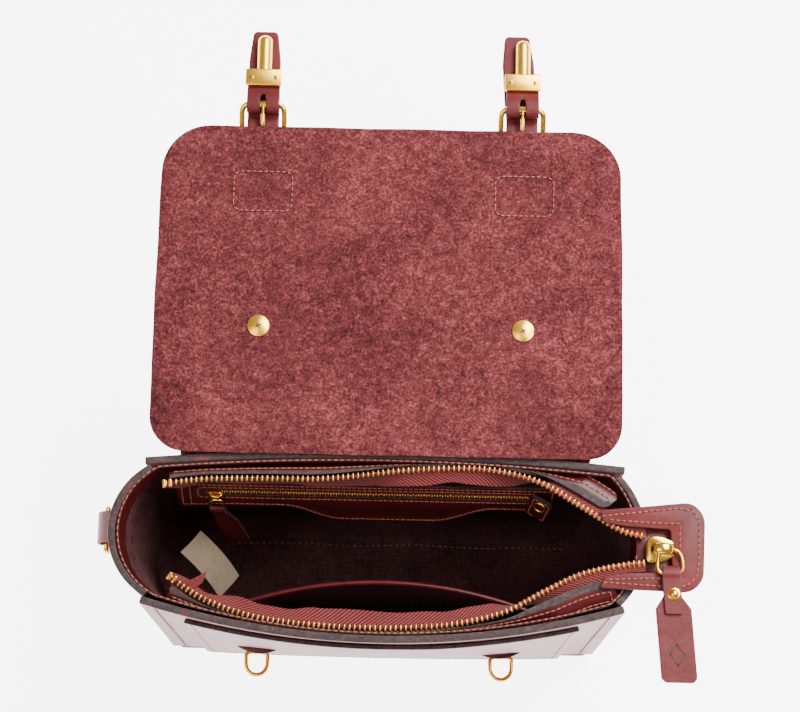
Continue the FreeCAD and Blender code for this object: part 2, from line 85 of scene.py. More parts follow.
def arcThrough(a, b, c, t):
    # point at t from 0 to 1 on the circle through three plan points
    d = 2 * (a[0] * (b[1] - c[1]) + b[0] * (c[1] - a[1]) + c[0] * (a[1] - b[1]))
    sq = [p[0] ** 2 + p[1] ** 2 for p in (a, b, c)]
    cx = (sq[0] * (b[1] - c[1]) + sq[1] * (c[1] - a[1]) + sq[2] * (a[1] - b[1])) / d
    cy = (sq[0] * (c[0] - b[0]) + sq[1] * (a[0] - c[0]) + sq[2] * (b[0] - a[0])) / d
    start = math.atan2(a[1] - cy, a[0] - cx)
    half = (math.atan2(b[1] - cy, b[0] - cx) - start + math.pi) % math.tau - math.pi
    angle = start + 2 * half * t
    radius = math.hypot(a[0] - cx, a[1] - cy)
    return cx + radius * math.cos(angle), cy + radius * math.sin(angle)


def ringPoint(around, z, inset):
    # plan point on the inside of the four walls: around runs 0 to 4, from the front left corner
    half = level("Half", z) - inset
    front, back = level("Front", z) + inset, level("Back", z) - inset
    corners = [(-half, front), (half, front), (half, back), (-half, back)]
    middles = [(0, level("FrontMid", z) + inset), (level("Right", z) - inset, (front + back) / 2),
               (0, level("BackMid", z) - inset), (level("Left", z) + inset, (front + back) / 2)]
    side = int(around) % 4
    return arcThrough(corners[side], middles[side], corners[(side + 1) % 4], around - int(around))


def wave(x, y, z, size, depth):
    return noise.noise(Vector((x, y, z)) / size) * depth


# modelling helpers

def deselectAll():
    if bpy.context.object and bpy.context.object.mode != "OBJECT":
        bpy.ops.object.mode_set(mode="OBJECT")
    bpy.ops.object.select_all(action="DESELECT")


def pick(piece):
    deselectAll()
    piece.select_set(True)
    bpy.context.view_layer.objects.active = piece
    return piece


def named(name):
    piece = bpy.context.object
    piece.name = piece.data.name = name
    return piece


def applyAll(piece):
    pick(piece)
    for modifier in list(piece.modifiers):
        bpy.ops.object.modifier_apply(modifier=modifier.name)
    return piece


def applyPlace(piece):
    pick(piece)
    bpy.ops.object.transform_apply(location=True, rotation=True, scale=True)
    return piece


def faceOut(piece):
    pick(piece)
    bpy.ops.object.mode_set(mode="EDIT")
    bpy.ops.mesh.select_all(action="SELECT")
    bpy.ops.mesh.remove_doubles(threshold=1e-6)
    bpy.ops.mesh.normals_make_consistent(inside=False)
    bpy.ops.object.mode_set(mode="OBJECT")
    return piece


def softShade(piece, degrees=40):
    pick(piece)
    bpy.ops.object.shade_smooth_by_angle(angle=math.radians(degrees))
    return piece


def paint(piece, *materials):
    piece.data.materials.clear()
    for material in materials:
        piece.data.materials.append(material)
    return piece


def gridSheet(name, across, along, placed, materials):
    # a grid whose points are moved to placed(u, w), both 0 to 1, in millimetres
    deselectAll()
    bpy.ops.mesh.primitive_grid_add(x_subdivisions=across, y_subdivisions=along, size=2)
    piece = named(name)
    for point in piece.data.vertices:
        point.co = Vector(placed((point.co.x + 1) / 2, (point.co.y + 1) / 2)) * mm
    return paint(piece, *materials)


def thicken(piece, thick, side=-1, edge=1, back=0, soften=0.0, segments=2):
    wall = piece.modifiers.new("wall", "SOLIDIFY")
    wall.thickness, wall.offset = thick * mm, side
    wall.material_offset_rim, wall.material_offset = edge, back
    if soften:
        soft = piece.modifiers.new("soft", "BEVEL")
        soft.width, soft.segments, soft.limit_method = soften * mm, segments, "ANGLE"
        soft.angle_limit = math.radians(50)
    applyAll(piece)
    return softShade(faceOut(piece), 50)


def cutPlate(name, outlines, low, high, materials, soften=0.3, edge=1):
    # a flat plate from closed outlines, the later ones holes, between two heights
    curve = bpy.data.curves.new(name, "CURVE")
    curve.dimensions, curve.fill_mode = "2D", "BOTH"
    for outline in outlines:
        line = curve.splines.new("POLY")
        line.points.add(len(outline) - 1)
        for point, (x, y) in zip(line.points, outline):
            point.co = (x * mm, y * mm, 0, 1)
        line.use_cyclic_u = True
    piece = bpy.data.objects.new(name, curve)
    bpy.context.collection.objects.link(piece)
    pick(piece)
    bpy.ops.object.convert(target="MESH")
    piece = named(name)
    bpy.ops.object.mode_set(mode="EDIT")
    bpy.ops.mesh.select_all(action="SELECT")
    bpy.ops.mesh.remove_doubles(threshold=1e-6)
    bpy.ops.mesh.dissolve_limited(angle_limit=0.01)
    bpy.ops.mesh.extrude_region_move(TRANSFORM_OT_translate={"value": (0, 0, (high - low) * mm)})
    bpy.ops.mesh.select_all(action="SELECT")
    bpy.ops.mesh.normals_make_consistent(inside=False)
    bpy.ops.object.mode_set(mode="OBJECT")
    piece.location.z = low * mm
    applyPlace(piece)
    paint(piece, *materials)
    for face in piece.data.polygons:
        face.material_index = edge if abs(face.normal.z) < 0.5 else 0
    if soften:
        soft = piece.modifiers.new("soft", "BEVEL")
        soft.width, soft.segments, soft.limit_method = soften * mm, 2, "ANGLE"
        soft.angle_limit = math.radians(60)
        applyAll(piece)
    return softShade(piece, 40)


def roundedBox(halfX, halfY, radius, centre=(0, 0), steps=6):
    # outline points of a rectangle whose corners are arcs; radius may be one value or four
    radii = radius if isinstance(radius, (list, tuple)) else [radius] * 4
    points = []
    for number, (sx, sy) in enumerate(((1, -1), (1, 1), (-1, 1), (-1, -1))):
        r = max(radii[number], 0.01)
        for step in range(steps + 1):
            angle = math.radians(-90 + 90 * number + 90 * step / steps)
            points.append((centre[0] + sx * (halfX - r) + r * math.cos(angle),
                           centre[1] + sy * (halfY - r) + r * math.sin(angle)))
    return points


def disc(radius, centre, steps):
    return roundedBox(radius, radius, radius - 0.01, centre, steps)


def roundCorners(corners, radii, steps=6):
    # outline with each corner turned into an arc-like curve of about its radius
    points = []
    for number, corner in enumerate(corners):
        here = Vector(corner)
        before, after = Vector(corners[number - 1]), Vector(corners[(number + 1) % len(corners)])
        reach = min(radii[number], (before - here).length * 0.49, (after - here).length * 0.49)
        start = here + (before - here).normalized() * reach
        end = here + (after - here).normalized() * reach
        for step in range(steps + 1):
            t = step / steps
            points.append(tuple(start * (1 - t) ** 2 + here * 2 * t * (1 - t) + end * t * t))
    return points


def wire(name, points, radius, material, closed=False, sides=5, order=4):
    # round metal or leather wire along a smooth route, made a mesh
    curve = bpy.data.curves.new(name, "CURVE")
    curve.dimensions, curve.bevel_depth, curve.bevel_resolution = "3D", radius * mm, sides
    curve.use_fill_caps = not closed
    line = curve.splines.new("NURBS")
    line.points.add(len(points) - 1)
    for point, place in zip(line.points, points):
        point.co = (*[c * mm for c in place], 1)
    line.order_u, line.use_cyclic_u, line.use_endpoint_u = order, closed, not closed
    line.resolution_u = 6
    piece = bpy.data.objects.new(name, curve)
    bpy.context.collection.objects.link(piece)
    pick(piece)
    bpy.ops.object.convert(target="MESH")
    return softShade(faceOut(paint(named(name), material)), 50)


def joined(name, pieces):
    pick(pieces[0])
    for piece in pieces[1:]:
        piece.select_set(True)
    if len(pieces) > 1:
        bpy.ops.object.join()
    return named(name)


def copies(name, template, places):
    # many copies of one small mesh, each turned and placed by its own matrix, as one piece
    points = np.array([v.co for v in template.vertices])
    faces = [list(f.vertices) for f in template.polygons]
    allPoints, allFaces = [], []
    for number, place in enumerate(places):
        turn = np.array(place)
        allPoints.append(points @ turn[:3, :3].T + turn[:3, 3])
        allFaces += [[v + number * len(points) for v in f] for f in faces]
    mesh = bpy.data.meshes.new(name)
    mesh.from_pydata(np.concatenate(allPoints).tolist(), [], allFaces)
    piece = bpy.data.objects.new(name, mesh)
    bpy.context.collection.objects.link(piece)
    for material in template.materials:
        mesh.materials.append(material)
    mesh.polygons.foreach_set("use_smooth", [True] * len(allFaces))
    mesh.polygons.foreach_set("material_index", [f.material_index for f in template.polygons] * len(places))
    return piece


def spaced(points, pitch, start=0.0):
    # places at an even pitch along a line of points, each with its direction
    places, walked, wanted = [], 0.0, start
    for a, b in zip(points, points[1:]):
        a, b = Vector(a), Vector(b)
        length = (b - a).length
        while length and wanted <= walked + length:
            places.append((a.lerp(b, (wanted - walked) / length), (b - a).normalized()))
            wanted += pitch
        walked += length
    return places


def framed(at, along, up):
    # matrix at a place in millimetres, x along the line and z up off the surface
    along = along.normalized()
    across = Vector(up).cross(along).normalized()
    up = along.cross(across)
    return Matrix((
        (along.x, across.x, up.x, at.x * mm), (along.y, across.y, up.y, at.y * mm),
        (along.z, across.z, up.z, at.z * mm), (0, 0, 0, 1),
    ))


stitch = dict(pitch=3.3, length=2.5, thread=0.42, sink=0.12)


def pattern(piece, *materials):
    # keep a piece's mesh to copy from, and take the piece itself out of the scene
    indices = [face.material_index for face in piece.data.polygons]
    mesh = paint(applyPlace(piece), *materials).data
    mesh.polygons.foreach_set("material_index", indices)
    bpy.data.objects.remove(piece)
    return mesh


def stitchPattern():
    deselectAll()
    bpy.ops.mesh.primitive_uv_sphere_add(segments=6, ring_count=5, radius=1)
    single = named("stitch")
    single.rotation_euler = (0, math.pi / 2, 0)
    applyPlace(single)
    single.scale = (stitch["length"] / 2 * mm, stitch["thread"] * mm, stitch["thread"] * 0.75 * mm)
    paint(applyPlace(single), thread, rawEdge)
    # a small dark disc between stitches, in the raw edge colour: painted shade of the needle hole
    deselectAll()
    bpy.ops.mesh.primitive_cylinder_add(vertices=6, radius=0.5 * mm, depth=0.3 * mm,
                                        location=(stitch["pitch"] / 2 * mm, 0, -0.05 * mm))
    hole = applyPlace(paint(named("needleHole"), thread, rawEdge))
    for face in hole.data.polygons:
        face.material_index = 1
    return pattern(joined("stitch", [single, hole]), thread, rawEdge)


def stitchLine(name, points, up, pitch=None):
    # stitches along a line: up is the surface normal, or a function of the place that gives it
    places = []
    for at, along in spaced(points, pitch or stitch["pitch"], 1.0):
        normal = Vector(up(at) if callable(up) else up).normalized()
        places.append(framed(at + normal * stitch["sink"], along, normal))
    return copies(name, stitchOne, places)


def ready(piece, body, slot, *nodes):
    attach(piece, body)
    if nodes:
        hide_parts(*nodes)
    return piece


# materials

class Nodes:
    # a short hand for wiring one material's nodes

    def __init__(self, name):
        self.material = bpy.data.materials.new(name)
        self.material.use_nodes = True
        self.tree = self.material.node_tree
        self.shader = self.tree.nodes["Principled BSDF"]
        self.place = self.add("ShaderNodeTexCoord").outputs["Object"]

    def add(self, kind, **inputs):
        node = self.tree.nodes.new(kind)
        for key, value in inputs.items():
            if key in ("operation", "blend_type", "data_type", "feature", "bands_direction", "wave_type"):
                setattr(node, key, value)
            else:
                node.inputs[key].default_value = value
        return node

    def link(self, source, target):
        self.tree.links.new(source, target)

    def noise(self, scale, detail=4.0, rough=0.6, place=None, distortion=0.0):
        node = self.add("ShaderNodeTexNoise", Scale=scale, Detail=detail, Roughness=rough,
                        Distortion=distortion)
        self.link(place or self.place, node.inputs["Vector"])
        return node.outputs["Fac"]

    def cells(self, scale, place=None):
        node = self.add("ShaderNodeTexVoronoi", feature="F1", Scale=scale)
        self.link(place or self.place, node.inputs["Vector"])
        return node.outputs["Distance"]

    def stretch(self, scale, place=None):
        node = self.add("ShaderNodeMapping")
        node.inputs["Scale"].default_value = scale
        self.link(place or self.place, node.inputs["Vector"])
        return node.outputs["Vector"]

    def ramp(self, source, *stops):
        node = self.add("ShaderNodeValToRGB")
        steps = node.color_ramp.elements
        for number, (at, colour) in enumerate(stops):
            step = steps[number] if number < 2 else steps.new(at)
            step.position, step.color = at, (*colour, 1)
        self.link(source, node.inputs["Fac"])
        return node.outputs["Color"]

    def maths(self, operation, a, b):
        node = self.add("ShaderNodeMath", operation=operation)
        for number, value in enumerate((a, b)):
            if isinstance(value, (int, float)):
                node.inputs[number].default_value = value
            else:
                self.link(value, node.inputs[number])
        return node.outputs[0]

    def mix(self, amount, a, b, kind="MIX"):
        node = self.add("ShaderNodeMix", data_type="RGBA")
        node.blend_type = kind
        for socket, value in ((0, amount), (6, a), (7, b)):
            if isinstance(value, (int, float)):
                node.inputs[socket].default_value = value
            elif isinstance(value, tuple):
                node.inputs[socket].default_value = (*value, 1)
            else:
                self.link(value, node.inputs[socket])
        return node.outputs[2]

    def colour(self, source):
        self.link(source, self.shader.inputs["Base Color"])

    def roughness(self, source, low, high):
        node = self.add("ShaderNodeMapRange")
        node.inputs["To Min"].default_value, node.inputs["To Max"].default_value = low, high
        self.link(source, node.inputs["Value"])
        self.link(node.outputs["Result"], self.shader.inputs["Roughness"])

    def bump(self, source, strength, depth, under=None):
        node = self.add("ShaderNodeBump", Strength=strength, Distance=depth * mm)
        self.link(source, node.inputs["Height"])
        if under:
            self.link(under, node.inputs["Normal"])
        self.link(node.outputs["Normal"], self.shader.inputs["Normal"])
        return node.outputs["Normal"]

    def set(self, **values):
        for key, value in values.items():
            self.shader.inputs[key.replace("_", " ")].default_value = value


def leatherFinish(name, deep, mid, pale, rough=(0.40, 0.60), grain=900, coat=0.03):
    # vegetable tanned leather: fine creased grain, cloudy dye and rubbed lighter patches
    n = Nodes(name)
    cloud = n.noise(28, 5, 0.62)
    fine = n.noise(420, 3, 0.6)
    dye = n.ramp(n.maths("ADD", n.maths("MULTIPLY", cloud, 0.72), n.maths("MULTIPLY", fine, 0.28)),
                 (0.24, deep), (0.76, pale), (0.5, mid))
    pores = n.cells(grain)
    n.colour(n.mix(n.maths("MULTIPLY", n.maths("LESS_THAN", pores, 0.18), 0.35), dye, deep))
    n.roughness(n.noise(160, 4, 0.6), *rough)
    creases = n.bump(n.noise(55, 6, 0.7, distortion=0.8), 0.25, 0.5)
    n.bump(pores, 0.35, 0.18, creases)
    n.set(Coat_Weight=coat, Coat_Roughness=0.3, Specular_IOR_Level=0.24)
    return n.material


def suedeFinish():
    n = Nodes("suedeSide")
    blotch = n.noise(22, 6, 0.62, distortion=0.6)
    nap = n.noise(700, 3, 0.75)
    fleck = n.noise(230, 4, 0.8, distortion=0.5)
    mixed = n.maths("ADD", n.maths("MULTIPLY", blotch, 0.17),
                    n.maths("ADD", n.maths("MULTIPLY", nap, 0.45), n.maths("MULTIPLY", fleck, 0.38)))
    n.colour(n.ramp(mixed, (0.38, (0.022, 0.002, 0.004)), (0.62, (0.325, 0.077, 0.076)),
                    (0.47, (0.084, 0.013, 0.0145)), (0.54, (0.162, 0.030, 0.033))))
    n.bump(mixed, 0.9, 0.9)
    n.set(Roughness=0.95, Specular_IOR_Level=0.25, Sheen_Weight=0.35, Sheen_Roughness=0.4,
          Sheen_Tint=(0.85, 0.45, 0.45, 1))
    return n.material


def edgeFinish():
    n = Nodes("rawEdge")
    fibre = n.noise(330, 6, 0.75, distortion=1.2)
    spots = n.noise(85, 3, 0.5)
    grey = n.ramp(fibre, (0.3, (0.014, 0.009, 0.009)), (0.72, (0.110, 0.074, 0.070)),
                  (0.5, (0.044, 0.028, 0.026)))
    n.colour(n.mix(n.ramp(spots, (0.60, (0, 0, 0)), (0.70, (0.8, 0.8, 0.8))), grey, (0.16, 0.03, 0.03)))
    n.roughness(fibre, 0.55, 0.85)
    n.bump(fibre, 0.8, 0.5)
    n.set(Specular_IOR_Level=0.35)
    return n.material


def clothFinish(name, dark, light, threads=1400, rough=0.9, sheen=0.2):
    # plain woven cloth read in object space, so that it runs on over the seams
    n = Nodes(name)
    warp = n.noise(1, 2, 0.5, n.stretch((threads, threads * 0.12, threads * 0.12)))
    weft = n.noise(1, 2, 0.5, n.stretch((threads * 0.12, threads, threads)))
    weave = n.maths("MULTIPLY", n.maths("ADD", warp, weft), 0.5)
    tone = n.maths("ADD", n.maths("MULTIPLY", weave, 0.6), n.maths("MULTIPLY", n.noise(18, 4, 0.6), 0.4))
    n.colour(n.ramp(tone, (0.35, dark), (0.62, light)))
    n.bump(weave, 0.5, 0.25)
    n.set(Roughness=rough, Specular_IOR_Level=0.12, Sheen_Weight=sheen, Sheen_Roughness=0.5)
    return n.material


def twillFinish():
    # zip tape: slanted ribs that follow the tape, read from its own UV map in millimetres
    n = Nodes("zipTape")
    uv = n.add("ShaderNodeUVMap").outputs["UV"]
    slant = n.add("ShaderNodeMapping")
    slant.inputs["Rotation"].default_value = (0, 0, math.radians(38))
    n.link(uv, slant.inputs["Vector"])
    ribs = n.add("ShaderNodeTexWave", wave_type="BANDS", bands_direction="X", Scale=0.2, Distortion=0.5)
    ribs.inputs["Detail"].default_value = 2
    n.link(slant.outputs["Vector"], ribs.inputs["Vector"])
    fuzz = n.noise(900, 3, 0.7)
    tone = n.maths("ADD", n.maths("MULTIPLY", ribs.outputs["Fac"], 0.7), n.maths("MULTIPLY", fuzz, 0.3))
    n.colour(n.ramp(tone, (0.15, (0.030, 0.002, 0.003)), (0.85, (0.27, 0.036, 0.032)),
                    (0.5, (0.125, 0.012, 0.013))))
    n.bump(tone, 0.8, 0.3)
    n.set(Roughness=0.8, Specular_IOR_Level=0.3, Sheen_Weight=0.15)
    return n.material


def metalFinish(name, tint, dark, rough):
    n = Nodes(name)
    haze = n.noise(60, 4, 0.6)
    n.colour(n.mix(n.ramp(haze, (0.45, (0, 0, 0)), (0.8, (1, 1, 1))), tint, dark))
    n.roughness(n.noise(300, 4, 0.7), *rough)
    n.bump(n.noise(240, 3, 0.6), 0.04, 0.1)
    n.set(Metallic=1.0)
    return n.material


def threadFinish():
    n = Nodes("thread")
    twist = n.noise(1600, 2, 0.6)
    n.colour(n.ramp(twist, (0.35, (0.24, 0.042, 0.017)), (0.65, (0.56, 0.13, 0.05))))
    n.bump(twist, 0.5, 0.1)
    n.set(Roughness=0.65, Sheen_Weight=0.2)
    return n.material


grain = leatherFinish("burgundyGrain", (0.056, 0.006, 0.007), (0.122, 0.014, 0.015), (0.198, 0.031, 0.031))
# a darker, glossier copy of the burgundy grain leather for parts that sit in shade, such as the rim facing,
# the plackets and the pieces inside: painted shade, the same leather drawn darker
grainShaded = leatherFinish("burgundyShade", (0.030, 0.002, 0.003), (0.066, 0.006, 0.007),
                          (0.100, 0.011, 0.013), rough=(0.26, 0.44), coat=0.12)
suede = suedeFinish()
rawEdge = edgeFinish()
liningCloth = clothFinish("liningCloth", (0.022, 0.008, 0.0085), (0.115, 0.044, 0.044), sheen=0.0)
labelCloth = clothFinish("labelCloth", (0.12, 0.088, 0.055), (0.20, 0.152, 0.100), threads=1800)
zipTape = twillFinish()
thread = threadFinish()
toothBrass = metalFinish("toothBrass", (0.84, 0.39, 0.075), (0.45, 0.18, 0.03), (0.24, 0.40))
goldMetal = metalFinish("goldMetal", (0.97, 0.54, 0.07), (0.82, 0.38, 0.035), (0.12, 0.24))
goldBrushed = metalFinish("goldBrushed", (0.99, 0.55, 0.055), (0.84, 0.40, 0.03), (0.26, 0.40))
stitchOne = stitchPattern()
print("stage: materials")

# camera, light and floor

shot = dict(place=(7, -181, 1475), pitch=12.5, roll=1.2, lens=105.9)
lamps = (
    ("keyLight", (0.85, 1.1, 1.7), 0.9, 70),
    ("fillLight", (-0.7, -0.4, 2.0), 0.9, 13),
    ("sideLight", (0.42, 0.15, 0.85), 0.3, 4.5),
    ("frontLight", (0.0, -1.6, 0.9), 1.0, 6),
)
studio = dict(aim=(0, 0.06, 0.12), world=0.36, floorSize=6, floorGlow=6.2)


def buildStage():
    cameraData = bpy.data.cameras.new("camera")
    cameraData.lens, cameraData.sensor_width, cameraData.sensor_fit = shot["lens"], 36, "HORIZONTAL"
    camera = bpy.data.objects.new("camera", cameraData)
    bpy.context.collection.objects.link(camera)
    camera.location = Vector(shot["place"]) * mm
    tilt = Euler((math.radians(shot["pitch"]), 0, 0)).to_matrix()
    camera.rotation_euler = (tilt @ Euler((0, 0, math.radians(shot["roll"]))).to_matrix()).to_euler()
    bpy.context.scene.camera = camera
    world = bpy.data.worlds.new("studio")
    world.use_nodes = True
    world.node_tree.nodes["Background"].inputs["Color"].default_value = (1, 1, 1, 1)
    world.node_tree.nodes["Background"].inputs["Strength"].default_value = studio["world"]
    bpy.context.scene.world = world
    for name, place, size, power in lamps:
        light = bpy.data.lights.new(name, "AREA")
        light.size, light.energy = size, power
        lamp = bpy.data.objects.new(name, light)
        bpy.context.collection.objects.link(lamp)
        lamp.location = place
        lamp.rotation_euler = (Vector(studio["aim"]) - Vector(place)).to_track_quat("-Z", "Y").to_euler()
    deselectAll()
    bpy.ops.mesh.primitive_grid_add(x_subdivisions=2, y_subdivisions=2, size=studio["floorSize"])
    floor = named("floor")
    n = Nodes("paleFloor")
    n.colour(n.ramp(n.noise(3, 2, 0.5), (0.3, (0.86, 0.86, 0.86)), (0.7, (0.88, 0.88, 0.88))))
    n.set(Roughness=0.7, Emission_Color=(1, 1, 1, 1), Emission_Strength=studio["floorGlow"])
    paint(floor, n.material)


buildStage()
print("stage: camera and light")

# the bag's walls


def buildWalls():
    thick = walls["thick"]
    for side, out in (("Front", -1), ("Back", 1)):
        def placed(u, w, side=side, out=out):
            z = baseTop + (rimZ - baseTop) * w
            half = level("Half", z)
            x = (2 * u - 1) * (half + 2.6)
            belly = math.sin(math.pi * w) * (0.6 + 0.4 * math.cos(math.pi * x / half))
            cockle = wave(x, 40 * out, z, 60, 0.9) * math.sin(math.pi * w)
            y = wallY(side, x, z) + out * (belly * 0.9 + cockle)
            return x, y, z + (wave(x, 3 * out, 7, 45, 0.8) if w > 0.98 else 0)
        panel = gridSheet(f"{side.lower()}Panel", 90, 50, placed, (grain, rawEdge, suede))
        if out > 0:
            panel.data.flip_normals()
        thicken(panel, thick, back=2, soften=0.7)
        ready(panel, "bag", "burgundy_leather", f"{side.lower()}_panel")
    for side, sign in (("Left", -1), ("Right", 1)):
        dip = walls["gussetDip"] if sign > 0 else 0

        def placed(u, w, side=side, sign=sign, dip=dip):
            front = math.sin(math.pi * u)
            z = baseTop + (rimZ - dip * (0.35 + 0.65 * front) - baseTop) * w
            half, inset = level("Half", z), thick + 0.2
            a = (sign * half, level("Front", z) + inset)
            c = (sign * half, level("Back", z) - inset)
            b = (level(side, z), (a[1] + c[1]) / 2)
            x, y = arcThrough(a, b, c, u)
            puff = math.sin(math.pi * w) * front
            return x + sign * (puff * 1.2 + wave(x, y, z, 50, 1.0) * puff), y, z
        panel = gridSheet(f"gusset{side}", 40, 50, placed, (grain, rawEdge, suede))
        if sign < 0:
            panel.data.flip_normals()
        thicken(panel, thick - 0.4, back=2, soften=0.7)
        ready(panel, "bag", "burgundy_leather", f"gusset_{side.lower()}")


base = dict(outline=(128.4, 43.6, 5), seam=(126, 40, 4), soften=1.4)


def buildBase():
    s = base
    panel = cutPlate("basePanel", [roundedBox(*s["outline"])], 0, baseTop + 0.6, (grain, rawEdge),
                     soften=s["soften"])
    seam = [(*p, 0) for p in roundedBox(*s["seam"])]
    stitches = stitchLine("baseStitches", seam + seam[:1], (0, 0, -1))
    for vertex in stitches.data.vertices:
        vertex.co.z = max(vertex.co.z + 0.2 * mm, 0.0001 * mm)
    ready(joined("basePanel", [panel, stitches]), "bag", "burgundy_leather", "base_panel")


frontPocket = dict(half=109, low=8, top=12, gap=0.35, thick=2.5, seamIn=4)


def buildFrontPocket():
    s = frontPocket
    top = rimZ - s["top"]

    def surface(x, z, proud):
        w = (z - s["low"]) / (top - s["low"])
        arch = 0.6 + 0.4 * math.cos(math.pi * x / level("Half", z))
        belly = math.sin(math.pi * min(max(w, 0), 1)) * arch
        lift = 0.3 * math.sin(math.pi * x / 2 / s["half"] + math.pi / 2) * max(w, 0) ** 6
        cockle = max(wave(x, -40, z, 60, 0.9), 0)
        return wallY("Front", x, z) - belly * 0.9 - cockle - s["gap"] - proud - lift

    def placed(u, w):
        z = s["low"] + (top - s["low"]) * w
        x = (2 * u - 1) * s["half"]
        return x, surface(x, z, s["thick"]), z
    panel = gridSheet("frontPocket", 80, 50, placed, (grain, rawEdge, suede))
    thicken(panel, s["thick"], back=2, soften=0.5)
    lines = []
    for sign in (-1, 1):
        x = sign * (s["half"] - s["seamIn"])
        lines.append([(x, surface(x, z, s["thick"]), z) for z in np.linspace(s["low"] + 3, top - 3, 30)])
    low, across = s["low"] + s["seamIn"], s["half"] - s["seamIn"]
    lines.append([(x, surface(x, low, s["thick"]), low) for x in np.linspace(-across, across, 60)])
    seams = [stitchLine(f"pocketSeam{n}", line, (0, -1, 0)) for n, line in enumerate(lines)]
    ready(joined("frontPocket", [panel, *seams]), "bag", "burgundy_leather", "front_pocket")
    edges = []
    for sign in (-1, 1):
        line = []
        for z in np.linspace(10, rimZ - 4, 40):
            x = sign * (level("Half", z) - 6)
            line.append((x, wallY("Front", x, z) - 0.5, z))
        edges.append(stitchLine(f"cornerSeam{sign}", line, (0, -1, 0)))
    ready(joined("cornerSeams", edges), "bag", "burgundy_leather")


buildWalls()
buildBase()
buildFrontPocket()
print("stage: walls")

# leather facing inside the rim and the cloth lining

facing = dict(top=1.2, low=15, inset=4.6, thick=1.4, seamDrop=0.6)


def ringDip(around):
    # the right hand wall's rim is lower under the zip's end tab
    return walls["gussetDip"] * math.sin(math.pi * (around - 1)) if 1 < around < 2 else 0.0


def buildFacing():
    s = facing

    def placed(u, w):
        around = 4 * u % 4
        z = rimZ - s["top"] - (s["low"] - s["top"]) * (1 - w) - ringDip(around)
        x, y = ringPoint(around, z, s["inset"] + s["thick"] + (1 - w) * 0.8)
        return x, y, z
    band = gridSheet("rimFacing", 240, 6, placed, (grainShaded, rawEdge))
    thicken(band, s["thick"], side=1, soften=0.3)
    seam = []
    for around in np.linspace(0, 3.999, 300):
        z = rimZ - s["seamDrop"] - ringDip(around)
        seam.append((*ringPoint(around, z, s["inset"] + 0.9), z + 0.4))
    stitches = stitchLine("rimStitches", seam + seam[:1], (0, 0, 1), pitch=3.6)
    ready(joined("rimFacing", [band, stitches]), "bag", "burgundy_leather", "rim_facing")


lining = dict(top=14, floor=9.4, inset=6.4, corner=9, thick=0.7, seamY=22, floorShare=0.28)


def buildLining():
    s = lining
    top = rimZ - s["top"]

    def placed(u, w):
        around, floorShare = 4 * u % 4, s["floorShare"]
        if w > floorShare:
            v = (w - floorShare) / (1 - floorShare)
            z = s["floor"] + (top - s["floor"] - ringDip(around)) * v
            drift = 1.4 * (1 - v) + 1.1 * math.sin(math.pi * v)
            rounding = s["corner"] * max(0, 1 - v * 7) ** 2
            x, y = ringPoint(around, z, s["inset"] + drift + rounding)
            fold = wave(x, y, z, 26, 1.5) + wave(x, y, z * 0.4, 11, 0.7)
            length = math.hypot(x, y)
            return x - x / length * max(fold, -0.6), y - y / length * max(fold, -0.6), z
        shrink = w / floorShare
        x, y = ringPoint(around, s["floor"], s["inset"] + 1.4 + s["corner"])
        return x * shrink, y * shrink, s["floor"] - 0.4 + wave(x * shrink, y * shrink, 5, 30, 0.5)
    cloth = gridSheet("clothLining", 200, 60, placed, (liningCloth, liningCloth))
    pick(cloth)
    bpy.ops.object.mode_set(mode="EDIT")
    bpy.ops.mesh.select_all(action="SELECT")
    bpy.ops.mesh.remove_doubles(threshold=0.02 * mm)
    bpy.ops.mesh.normals_make_consistent(inside=True)
    bpy.ops.object.mode_set(mode="OBJECT")
    thicken(cloth, s["thick"], side=-1, edge=0)
    line = [(x, s["seamY"] + wave(x, 1, 1, 40, 1.2), s["floor"] + 0.5) for x in np.linspace(-92, 112, 70)]
    stitches = stitchLine("floorSeam", line, (0, 0, 1), pitch=3.8)
    ready(cloth, "bag", "lining_cloth", "lining", "base_board")
    ready(stitches, "bag", "lining_cloth")


buildFacing()
buildLining()
print("stage: facing and lining")


# the main zip

rows = dict(
    front=[(-117, -22), (-100, -33), (-77, -41.5), (-50, -46), (-10, -48), (32, -46), (65, -38.5),
           (87, -27), (108, -16.5), (130, -11), (144, -9)],
    back=[(-122, 29), (-100, 32), (-70, 33), (-36, 33.5), (-12, 36), (10, 39), (40, 41), (62, 40),
          (86, 34), (108, 21.5), (130, 8.5), (144, 5)],
)
zipMade = dict(
    top=189.4, pitch=2.8, tooth=(1.4, 3.7, 2.3), stop=(2.2, 5.0, 3.0), tape=0.7,
    tilt=dict(front=[(-117, 100), (-95, 118), (-75, 142), (40, 142), (62, 120), (84, 45), (104, 14),
                     (144, 6)],
              back=[(-122, 84), (-40, 88), (-6, 98), (12, 136), (50, 142), (72, 105), (95, 32), (144, 8)]),
    width=dict(front=[(-117, 6), (-80, 9), (50, 9.5), (90, 6.5), (144, 6)],
               back=[(-122, 5), (-40, 6), (0, 9), (60, 9), (90, 6.5), (144, 6)]),
)


def smoothRow(points, steps=24):
    line = []
    padded = [points[0]] + points + [points[-1]]
    for number in range(1, len(padded) - 2):
        a, b, c, d = (Vector(q) for q in padded[number - 1:number + 3])
        for step in range(steps):
            t = step / steps
            line.append(0.5 * (2 * b + (c - a) * t + (2 * a - 5 * b + 4 * c - d) * t * t
                               + (3 * b - a - 3 * c + d) * t ** 3))
    line.append(Vector(points[-1]))
    return line


def ease(table, x):
    return float(np.interp(x, [a for a, b in table], [b for a, b in table]))


